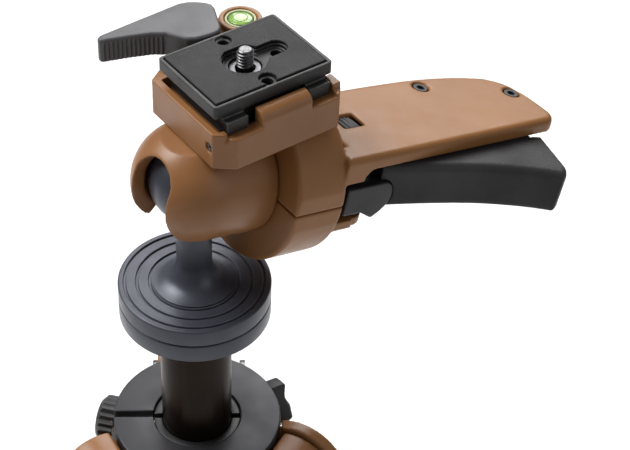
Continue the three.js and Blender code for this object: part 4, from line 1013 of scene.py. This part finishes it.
def makeGripUpper():
    s = gripSizes
    panel = addSlab(panelOutline(), s["panelBottom"], s["panelTop"])
    bevelRim(panel, s["rim"], 8, lambda point: point.z > s["panelTop"] - 0.01)
    palm = addSlab(palmOutline(), s["seam"], s["panelBottom"] + 1)
    inner = s["panelBottom"] - s["ledgeFillet"]
    brow = [(44, s["ledgeHeight"]), (s["ledge"], s["ledgeHeight"]),
            *[(s["ledge"] + s["ledgeFillet"] - u, v)
              for u, v in arcPoints((0, inner), s["ledgeFillet"], 0, 90, 10)],
            (s["ledge"] + s["ledgeFillet"], s["panelBottom"] + 1), (44, s["panelBottom"] + 1)]
    ledge = addSlab(brow, s["front"], s["palmNear"] + 1, "y")
    bevelRim(ledge, 1.2, 4, lambda point: point.y < s["front"] + 0.01 and point.x > 50 and point.z < 12)
    root = [(45, 19), (52, 19.6), *arcPoints((52, 26), 6.2, -90, -180, 10), (45, 26)]
    filletRoot = trim(addSlab(root, -24, 12, "y"), addRod("x", s["radius"] - 1, 40, 60, sides=96))
    shell = makeBarrelHalf(s["seam"], 2 * s["radius"])
    weld(shell, panel, palm, ledge, filletRoot)
    pinPlace = (*leverSizes["pivot"], 0)
    aboveSeat = addBlock((-farPast, 80), (-farPast, farPast), (housingSizes["seat"], 90))
    carve(shell, turnAbout(aboveSeat, "y", -gripTilt), *wheelRoom(), addRod("x", 12, 20, 40, sides=48),
          addRod("z", leverSizes["pinHole"], -20, 17.4, pinPlace, 32))
    for x, y in screwPlaces:
        recess = spinProfile([(0, s["panelTop"] - screwSizes["depth"]),
                              (screwSizes["recess"], s["panelTop"] - screwSizes["depth"]),
                              (screwSizes["recess"], s["panelTop"] - 0.7),
                              (screwSizes["recess"] + 0.8, s["panelTop"] + 0.2),
                              (screwSizes["recess"] + 0.8, 25), (0, 25)], 48)
        carve(shell, shift(recess, (x, y, 0)),
              addRod("z", screwSizes["shank"] + slipFit, -1, 18, (x, y, 0), 24))
    castSkin(shell, 0.52, 4)
    settle(shell, "gripUpperShell", gripFrame, "head", "grip_upper_shell", tanShell)


def makeGripLower():
    s = gripSizes
    palm = addSlab(palmOutline(), s["floor"], -s["seam"])
    bevelRim(palm, 4, 8, lambda point: point.z < s["floor"] + 0.01)
    tongue = addBlock((44, s["ledge"]), (-32, s["palmNear"] + 1), (-13, -9.2))
    pinPlace = (*leverSizes["pivot"], 0)
    pinPad = addRod("z", 6.5, -13, -9.2, pinPlace, 64)
    shell = weld(makeBarrelHalf(-2 * s["radius"], -s["seam"]), palm, tongue, pinPad)
    carve(shell, addRod("x", 12, 20, 40, sides=48),
          addRod("z", leverSizes["pinHole"], -20, 10, pinPlace, 32))
    for x, y in screwPlaces:
        carve(shell, addRod("z", screwSizes["shank"] + slipFit, -11, 1, (x, y, 0), 24))
    castSkin(shell, 0.55, 4)
    settle(shell, "gripLowerShell", gripFrame, "head", "grip_lower_shell", tanShell)


def makeGripScrews():
    s = screwSizes
    top = gripSizes["panelTop"] - 0.5
    for index, (x, y) in enumerate(screwPlaces):
        screw = spinProfile([(0, top - 24), (s["shank"], top - 24), (s["shank"], top - 1.8),
                             (s["head"], top - 1.8), (s["head"], top), (0, top)], 48)
        carve(screw, addRod("z", s["socket"], top - 1.4, top + 1, sides=6))
        soften(screw, 0.25, 3)
        settle(shift(screw, (x, y, 0)), f"gripScrew{index + 1}", gripFrame, "head", f"grip_screw_{index + 1}",
               blackPlastic)


def makeFrictionWheel():
    s = wheelSizes
    outline = []
    for step in range(s["ribs"] * 6):
        angle = 2 * math.pi * step / (s["ribs"] * 6)
        radius = s["radius"] - 0.35 + 0.35 * math.cos(angle * s["ribs"])
        outline.append((radius * math.cos(angle), radius * math.sin(angle)))
    wheel = addSlab(outline, -s["width"] / 2, s["width"] / 2, "y")
    weld(wheel, addRod("y", s["axle"], -s["width"] / 2 - 2.6, s["width"] / 2 + 2.6, sides=32))
    soften(wheel, 0.2, 2)
    settle(shift(wheel, (s["along"], s["across"], s["height"])), "frictionWheel", gripFrame, "friction_dial",
           "friction_wheel", blackPlastic)


# squeeze lever and its rubber pad

leverSizes = {"pivot": (56, -24.5), "front": -34.2, "top": 7.0, "bottom": -8.4, "under": -4.6, "armTop": 13.0,
              "armBottom": -4.4, "boss": 6.0, "pinHole": 2.8}
nosePlan = [(46.6, -34.2), (70, -34.2), (70, -19.2), (60, -17.8), (51, -17.8), (46.6, -22)]
armPlan = [(60, -18), (74, -21), (140, -28), (140, -33), (74, -26), (60, -23)]
padFront = [(63, -32.4), (82.4, -37.6), (101, -43.4), (114, -48.8), (126, -55), (133.6, -60)]


def noseOutline(grow):
    s = leverSizes
    x, start = s["pivot"][0], gripSizes["end"] + 0.6 - grow
    front = (x + 8 + grow, s["top"] + grow)
    middle = (x + 13.5 + grow, 0)
    return [(start, s["top"] + grow), front, *bendTo(front, (x + 13.5 + grow, s["top"]), middle),
            *bendTo(middle, (x + 13 + grow, -4.5), (x + 5.5, s["bottom"] - grow)),
            (x - 1, s["under"] - grow), (start, s["under"] - grow)]


def makeSqueezeLever():
    s = leverSizes
    x, y = s["pivot"]
    nose = trim(addSlab(noseOutline(0), s["front"] - 1, -10, "y"), addSlab(nosePlan, -20, 8))
    arm = addSlab(armPlan, s["armBottom"], s["armTop"])
    boss = addRod("z", s["boss"], s["bottom"], 8.4, (x, y, 0), 64)
    weld(nose, arm, boss)
    carve(nose, addRod("z", s["pinHole"], -20, 20, (x, y, 0), 32))
    castSkin(nose, 0.4, 4)
    settle(nose, "squeezeLever", gripFrame, "grip_lever", "squeeze_lever", blackPlastic)


def makeLeverPad():
    s = leverSizes
    x, y = s["pivot"]
    plan = [*curveThrough(padFront, 6), (136.6, -58.6), (144, -34.6), (140.5, -33.3), (74, -26.3),
            (64.5, -27)]
    pad = addSlab(plan, -4.8, 13.3)
    bevelRim(pad, 3.0, 8, lambda point: point.z > 13.2 and point.y < -30 and point.x < 140)
    bevelRim(pad, 1.6, 5, lambda point: point.z < -4.7)
    carve(pad, addSlab(noseOutline(slipFit), gripSizes["front"] - 2, 0, "y"),
          addRod("z", s["boss"] + slipFit, -20, 20, (x, y, 0), 48))
    castSkin(pad, 0.42, 6)
    settle(pad, "leverGripPad", gripFrame, "grip_lever", "lever_grip_pad", gripRubber)


makeHousing()
makeGripUpper()
makeGripLower()
makeGripScrews()
makeFrictionWheel()
makeSqueezeLever()
makeLeverPad()
print("housing and grip made")


# quick-release adapter: X along the grip's direction, Y across it, Z up from the ball's centre

adapterSizes = {"left": -4.5, "right": 49.5, "front": -25.5, "bottom": 20.6, "top": 35.7, "wall": 3.0,
                "pocket": 31.0, "shoulder": 34.0, "shoulderDepth": 5.5, "hookLeft": 13.5, "hookRight": 35.0,
                "hookDepth": 6.0, "hookTop": 40.5, "postWidth": 3.5, "postTop": 38.2, "plateBack": 18.1}
levelSizes = {"along": 42.3, "across": 31.0, "boss": 8.3, "top": 38.5, "cup": 6.0, "glass": 4.8, "depth": 5.0}
clampSizes = {"along": 21.5, "across": 31.5, "pin": 3.0, "bottom": 36.0, "top": 46.0, "ribs": 14, "rib": 0.6}
adapterBack = levelSizes["across"] + levelSizes["boss"]
setScrewSizes = {"across": -17.7, "height": 28.6, "radius": 1.6, "length": 6.0}
buttonSizes = {"along": 31.0, "height": 28.0, "radius": 2.2, "length": 8.0, "proud": 2.0}
jawSizes = {"half": 8.0, "start": 17.9, "depth": 6.0, "travel": 2.5, "bottom": 31.0, "top": 35.3}


def adapterOutline():
    s = adapterSizes
    level, clamp = levelSizes, clampSizes
    return [(s["left"], s["front"] + 5.5), (s["left"] + 7, s["front"]), (s["right"] - 3, s["front"]),
            (s["right"], s["front"] + 3), (s["right"], level["across"] - 8),
            *arcPoints((level["along"], level["across"]), level["boss"], 0, 90, 20),
            *arcPoints((clamp["along"], adapterBack - 8), 8, 90, 180, 16), (s["left"], 19.5)]


def makeAdapter():
    s = adapterSizes
    level, clamp, button, screw = levelSizes, clampSizes, buttonSizes, setScrewSizes
    left, right, front, back = s["left"], s["right"], s["front"], s["plateBack"]
    body = addSlab(adapterOutline(), s["bottom"], s["top"])
    weld(body, addBlock((right - s["postWidth"], right), (front + 3, front + 9), (s["bottom"], s["postTop"])))
    carve(body, addBlock((left + 5, right - s["postWidth"]), (front - 1, front + s["shoulderDepth"]),
                         (s["shoulder"], farPast)))
    # the front hook: a bar with a rounded brow, stepped down at its right end
    hookBase = s["shoulder"] - 2
    brow = [(front, hookBase), (front + s["hookDepth"], hookBase), (front + s["hookDepth"], s["hookTop"]),
            *arcPoints((front + 4.2, s["hookTop"] - 4.2), 4.2, 90, 180, 12)]
    weld(body, addSlab(brow, s["hookLeft"], s["hookRight"], "x"),
         addRod("z", level["boss"], s["bottom"], level["top"], (level["along"], level["across"], 0), 96))
    carve(body, addBlock((left + s["wall"], right - s["wall"]), (front + s["shoulderDepth"], back - 0.6),
                         (s["pocket"], farPast)),
          addBlock((clamp["along"] - jawSizes["half"] - 0.3, clamp["along"] + jawSizes["half"] + 0.3),
                   (back - 2, jawSizes["start"] + jawSizes["depth"] + jawSizes["travel"] + 0.3), (30.7, 37)),
          addRod("z", clamp["pin"] + slipFit, s["bottom"] + 1.4, 37,
                 (clamp["along"], clamp["across"], 0), 48),
          addRod("z", level["cup"] + slipFit, level["top"] - level["depth"] - slipFit, farPast,
                 (level["along"], level["across"], 0), 64),
          addRod("x", screw["radius"] + 0.4, left - 1, left + 7, (0, screw["across"], screw["height"]), 32),
          addRod("y", button["radius"] + slipFit, adapterBack + button["proud"] - button["length"] - 2,
                 adapterBack + 1, (button["along"], 0, button["height"]), 32),
          addBlock((-20, level["along"] - level["boss"] - 1), (back, adapterBack + 1), (s["top"], farPast)))
    # the cut-out in the left front corner, open to the top and the side
    notchCut = [(left - 1, 31.4), (left + 3.4, 31.4), (left + 5.8, 34.6), (left + 5.8, farPast),
                (left - 1, farPast)]
    notch = addSlab(notchCut, front - 1, front + 2.9, "y")
    carve(body, notch)
    castSkin(body, 0.36, 4)
    settle(body, "adapterBody", headFrame, "head", "adapter_body", tanPaint)


def makeAdapterSmallParts():
    s, button, jaw = setScrewSizes, buttonSizes, jawSizes
    left = adapterSizes["left"]
    screw = carve(addRod("x", s["radius"], left + 0.6, left + s["length"], sides=48),
                  addRod("x", 0.85, left - 1, left + 2.4, sides=6))
    soften(screw, 0.2, 2)
    settle(shift(screw, (0, s["across"], s["height"])), "adapterSetScrew", headFrame, "head",
           "adapter_set_screw", steel)
    end = adapterBack + button["proud"]
    cap = spinProfile([(0, end - button["length"]), (button["radius"], end - button["length"]),
                       (button["radius"], end - 0.7), (button["radius"] - 0.7, end), (0, end)], 64, "y")
    settle(shift(soften(cap, 0.15, 2), (button["along"], 0, button["height"])), "releaseButton", headFrame,
           "safety_button", "release_button", brassMetal)
    along = clampSizes["along"]
    block = addBlock((along - jaw["half"], along + jaw["half"]), (jaw["start"], jaw["start"] + jaw["depth"]),
                     (jaw["bottom"], jaw["top"]))
    bevelRim(block, 0.8, 1, lambda point: point.y < jaw["start"] + 0.01 and point.z > jaw["top"] - 0.01)
    settle(soften(block, 0.25, 2), "clampJaw", headFrame, "plate_jaw", "clamp_jaw", brassMetal)


leverOutline = [(-14.6, 38.6), (-13.4, 37.4), (-4, 34.4), (3.6, 31.4), (7.9, 28.5), (10.2, 24.6),
                (12.3, 21.6), (15.2, 19.9), (18.6, 19.2), (22.4, 18.9), (24.6, 19.2), (26.4, 20.6),
                (27.5, 22.6), (29.8, 27.8), (32.1, 33.1), (32.4, 35.6), (31.2, 37.8), (28.6, 40.2),
                (25.8, 42), (22.5, 43), (4, 42.2), (-12.8, 41.4), (-14.4, 40.4)]


def makeClampLever():
    s = clampSizes
    lever = addSlab(leverOutline, s["bottom"], s["top"])
    bevelRim(lever, 1.1, 6, lambda point: point.z > s["top"] - 0.01)
    bevelRim(lever, 0.5, 3, lambda point: point.z < s["bottom"] + 0.01)
    edge = [Vector(point) for point in leverOutline[1:5]]
    lengths = [(after - before).length for before, after in zip(edge, edge[1:])]
    for step in range(s["ribs"]):
        along = sum(lengths) * (step + 0.4) / s["ribs"]
        part = 0
        while along > lengths[part]:
            along -= lengths[part]
            part += 1
        spot = edge[part].lerp(edge[part + 1], along / lengths[part])
        carve(lever, addRod("z", s["rib"], s["bottom"] - 1, s["top"] - 1.6, (spot.x, spot.y, 0), 16))
    carve(lever, addRod("z", s["pin"] + slipFit, s["bottom"] - 1, s["bottom"] + 6.3,
                        (s["along"], s["across"], 0), 48))
    castSkin(lever, 0.3, 3)
    settle(lever, "clampLever", headFrame, "plate_clamp", "clamp_lever", leverPaint)


def makeLevel():
    s = levelSizes
    place = (s["along"], s["across"], 0)
    top = s["top"]
    cup = spinProfile([(0, top - s["depth"]), (s["cup"], top - s["depth"]), (s["cup"], top - 0.3),
                       (s["glass"] + slipFit, top - 0.3), (s["glass"] + slipFit, top - 3), (0, top - 3)], 96)
    settle(shift(soften(cup, 0.2, 2), place), "levelCup", headFrame, "head", "level_cup",
           whiteAcetal)
    dome = [(0, top - 2.7), (s["glass"], top - 2.7), (s["glass"], top - 0.7)]
    dome += [(s["glass"] * math.cos(angle), top - 0.7 + 1.0 * math.sin(angle))
             for angle in [math.pi / 2 * step / 10 for step in range(1, 10)]]
    dome.append((0, top + 0.3))
    settle(shift(spinProfile(dome, 96), place), "levelGlass", headFrame, "head", "level_glass",
           liquid)
    for name, radius in (("levelRing", 2.6), ("levelOuterRing", 4.55)):
        height = top + 0.28 - 0.62 * (radius / s["glass"]) ** 3
        ring = spinProfile([(radius, height - 0.1), (radius + 0.2, height - 0.1),
                            (radius + 0.2, height + 0.02), (radius, height + 0.02)], 96)
        settle(shift(ring, place), name, headFrame, "head", None, blackPlastic)
    bubble = addBall(1.0, segments=48)
    for vertex in bubble.data.vertices:
        vertex.co = (vertex.co.x * 1.9, vertex.co.y * 1.9, vertex.co.z * 0.35)
    settle(shift(bubble, (s["along"] + 0.5, s["across"] - 0.4, top + 0.12)), "levelBubble", headFrame,
           "head", None, bubbleFinish)


makeAdapter()
makeAdapterSmallParts()
makeClampLever()
makeLevel()
print("adapter, clamp lever and level made")


# camera plate

plateSizes = {"left": -2.5, "right": 48.2, "front": -19.0, "back": 18.1, "top": 45.5, "skirt": 5.0,
              "rim": 1.3, "recess": 1.0, "footReach": 3.0, "footBottom": 34.4, "footTop": 39.6,
              "footInset": 3.2, "footLength": 9.0, "coreInset": 2.4, "coreBottom": 31.6, "corner": 1.4}
wellSizes = {"radius": 8.6, "straightBack": 7.6, "earReach": 13.6, "ear": 4.1, "dowel": 2.1,
             "dowelReach": 14.0, "notch": 3.3}
threadSizes = {"along": 22.8, "across": -0.5, "radius": 3.175, "proud": 4.6, "head": 7.4,
               "headThickness": 2.0, "pitch": 1.27, "turns": 5}
ringSizes = {"inner": 3.7, "outer": 5.8, "bottom": 41.2, "top": 42.2}


def screwWell(bottom, top, grow=0.0):
    s, t = wellSizes, threadSizes
    centre = (t["along"], t["across"], 0)
    well = trim(addRod("z", s["radius"] - grow, bottom, top, centre, 96),
                addBlock((0, farPast), (-30, t["across"] + s["straightBack"] - grow), (bottom - 1, top + 1)))
    return [well, addBlock((t["along"], t["along"] + s["earReach"]),
                           (t["across"] - s["ear"] + grow, t["across"] + s["ear"] - grow), (bottom, top)),
            addRod("z", s["ear"] - grow, bottom, top, (t["along"] + s["earReach"], t["across"], 0), 64)]


def makePlate():
    s, w, t = plateSizes, wellSizes, threadSizes
    under, floor = s["top"] - s["skirt"], s["top"] - s["recess"]
    inset = s["coreInset"]
    corners = []
    corner = s["corner"]
    left, right = s["left"] + corner, s["right"] - corner
    front, back = s["front"] + corner, s["back"] - corner
    for x, y, start in ((right, back, 0), (left, back, 90), (left, front, 180), (right, front, 270)):
        corners += arcPoints((x, y), corner, start, start + 90, 8)
    plate = addSlab(corners, under, s["top"])
    weld(plate, addBlock((s["left"] + 1.8 + inset, s["right"] - 1.8 - inset),
                         (s["front"] + inset, s["back"] - inset), (s["coreBottom"], under + 1)))
    for start in (s["left"] + s["footInset"], s["right"] - s["footInset"] - s["footLength"]):
        end = start + s["footLength"]
        weld(plate, addBlock((start, end), (s["front"] - s["footReach"], s["front"] + inset + 1),
                             (s["footBottom"], s["footTop"])),
             addBlock((start, end), (s["front"], s["front"] + inset + 1), (s["footBottom"], under + 1)))
    centre = (t["along"], t["across"], 0)
    carve(plate, addBlock((s["left"] + s["rim"], s["right"] - s["rim"]),
                          (s["front"] + s["rim"], s["back"] - s["rim"]), (floor, farPast)),
          *screwWell(floor - 1.6, farPast, slipFit), addRod("z", 6.1, floor - 3.6, farPast, centre, 64),
          addRod("z", t["radius"] + 0.4, s["coreBottom"] - 1, farPast, centre, 48),
          addRod("z", t["head"] + slipFit, s["coreBottom"] - 1, s["coreBottom"] + 2.6, centre, 64),
          addRod("z", w["dowel"], under - 2, farPast, (t["along"] + w["earReach"], t["across"], 0), 48))
    for side in (-1, 1):
        carve(plate, addRod("z", w["dowel"], under - 2, farPast,
                            (t["along"], t["across"] + side * w["dowelReach"], 0), 48))
    castSkin(plate, 0.28, 3)
    settle(plate, "cameraPlate", headFrame, "head", "plate_body", plateCasting)


def makePlatePad():
    s, w, t = plateSizes, wellSizes, threadSizes
    side = s["rim"] + 0.5
    floor = s["top"] - s["recess"] + 0.15
    pad = addBlock((s["left"] + side, s["right"] - side), (s["front"] + side, s["back"] - side),
                   (floor, s["top"] + 0.4))
    carve(pad, *screwWell(floor - 1, farPast),
          addRod("z", w["dowel"] + 0.9, floor - 1, farPast,
                 (t["along"], t["across"] + w["dowelReach"], 0), 64),
          addRod("z", w["notch"], floor - 1, farPast, (t["along"], t["across"] - w["dowelReach"], 0), 64))
    castSkin(pad, 0.25, 2)
    settle(pad, "platePad", headFrame, "head", "plate_pad", padRubber)


def makeCameraScrew():
    s = plateSizes
    t = threadSizes
    bottom, tip = s["coreBottom"] + 0.2, s["top"] + t["proud"]
    root = t["radius"] - 0.55
    core = spinProfile([(0, bottom), (t["head"], bottom), (t["head"], bottom + t["headThickness"]),
                        (root, bottom + t["headThickness"]), (root, tip - 0.3), (root - 0.5, tip),
                        (0, tip)], 64)
    carve(core, addBlock((-0.7, 0.7), (-9, 9), (bottom - 1, bottom + 1)))
    # one turn of V-shaped ridge, wound up the screw
    bpy.ops.object.select_all(action="DESELECT")
    bpy.ops.mesh.primitive_circle_add(vertices=4)
    ridge = bpy.context.object
    start = tip - 0.9 - t["pitch"] * t["turns"]
    half = t["pitch"] / 2
    for vertex, (x, z) in zip(ridge.data.vertices, ((root - 0.4, -half * 0.85), (t["radius"], -0.12),
                                                    (t["radius"], 0.12), (root - 0.4, half * 0.85))):
        vertex.co = (x, 0, start + z)
    useModifier(ridge, "SCREW", angle=2 * math.pi, screw_offset=t["pitch"], iterations=t["turns"], steps=48,
                render_steps=48, axis="Z", use_merge_vertices=False)
    pick(ridge)
    bpy.ops.object.mode_set(mode="EDIT")
    bpy.ops.mesh.select_all(action="SELECT")
    bpy.ops.mesh.remove_doubles(threshold=1e-4)
    bpy.ops.mesh.fill_holes(sides=0)
    bpy.ops.mesh.normals_make_consistent(inside=False)
    bpy.ops.object.mode_set(mode="OBJECT")
    bpy.ops.object.select_all(action="DESELECT")
    ridge.select_set(True)
    core.select_set(True)
    bpy.context.view_layer.objects.active = core
    bpy.ops.object.join()
    castSkin(core, 0.13, 1)
    settle(shift(core, (t["along"], t["across"], 0)), "cameraScrew", headFrame, "plate_screw", "camera_screw",
           steel)
    r = ringSizes
    ring = spinProfile([(r["inner"], r["bottom"]), (r["outer"], r["bottom"]), (r["outer"], r["top"]),
                        (r["inner"], r["top"])], 96)
    settle(shift(soften(ring, 0.2, 2), (t["along"], t["across"], 0)), "screwRing", headFrame, "head",
           "screw_ring", steel)


makePlate()
makePlatePad()
makeCameraScrew()
print("camera plate made")


# nodes that are shown as they are built, in the finish of their slot

keptFinishes = {"bright_steel": steel, "satin_black": blackPlastic, "tan_paint": tanPaint,
                "tan_shell": tanShell, "brass": brassMetal, "white_plastic": whiteAcetal,
                "level_liquid": liquid, "plate_grey": plateCasting, "pad_rubber": padRubber,
                "lever_grey": leverPaint, "grip_rubber": gripRubber}


def finishKeptNodes():
    for part in frame["record"]["subparts"]:
        node = frame["nodes"][part["node"]]
        if not node.hide_render and part["material_slot"] in keptFinishes:
            node.data.materials.clear()
            node.data.materials.append(keptFinishes[part["material_slot"]])


finishKeptNodes()
print("kept nodes finished")


# floor, lights and camera

stageSettings = {"floorSize": 12, "floorColor": (0.93, 0.93, 0.93), "floorRough": 0.9, "skyStrength": 0.23}


def makeStage():
    choice = stageSettings
    bpy.ops.object.select_all(action="DESELECT")
    bpy.ops.mesh.primitive_plane_add(size=choice["floorSize"], location=(0, 0, 0))
    floor = bpy.context.object
    floor.name = "floor"
    material = newFinish("floorPaper", choice["floorColor"], choice["floorRough"])[0]
    floor.data.materials.append(material)
    world = bpy.data.worlds.new("studio")
    bpy.context.scene.world = world
    world.use_nodes = True
    background = world.node_tree.nodes["Background"]
    background.inputs["Color"].default_value = (1.0, 1.0, 1.0, 1)
    background.inputs["Strength"].default_value = choice["skyStrength"]


lights = {
    "keyLight": {"place": (-0.95, 0.25, 1.9), "size": 1.0, "power": 38},
    "fillLight": {"place": (1.4, -1.1, 1.2), "size": 1.4, "power": 5},
    "backLight": {"place": (0.3, 1.5, 1.7), "size": 1.3, "power": 29},
}


def makeLights():
    for name, choice in lights.items():
        bpy.ops.object.light_add(type="AREA", location=choice["place"])
        lamp = bpy.context.object
        lamp.name = name
        lamp.data.size = choice["size"]
        lamp.data.energy = choice["power"]
        toHead = ballCentre - Vector(choice["place"])
        lamp.rotation_euler = toHead.to_track_quat("-Z", "Y").to_euler()


cameraSettings = {"place": (0.01375, -0.54228, 0.9825), "pitch": 49.0, "lens": 97.1, "sensor": 36.0,
                  "shiftX": 0.135, "shiftY": 0.0}


def makeCamera():
    bpy.ops.object.camera_add(location=cameraSettings["place"],
                              rotation=(math.radians(cameraSettings["pitch"]), 0, 0))
    camera = bpy.context.object
    camera.data.lens = cameraSettings["lens"]
    camera.data.sensor_width = cameraSettings["sensor"]
    camera.data.shift_x = cameraSettings["shiftX"]
    camera.data.shift_y = cameraSettings["shiftY"]
    camera.data.clip_start = 0.01
    bpy.context.scene.camera = camera
    bpy.context.scene.view_settings.view_transform = "Standard"


makeStage()
makeLights()
makeCamera()
print("stage made")
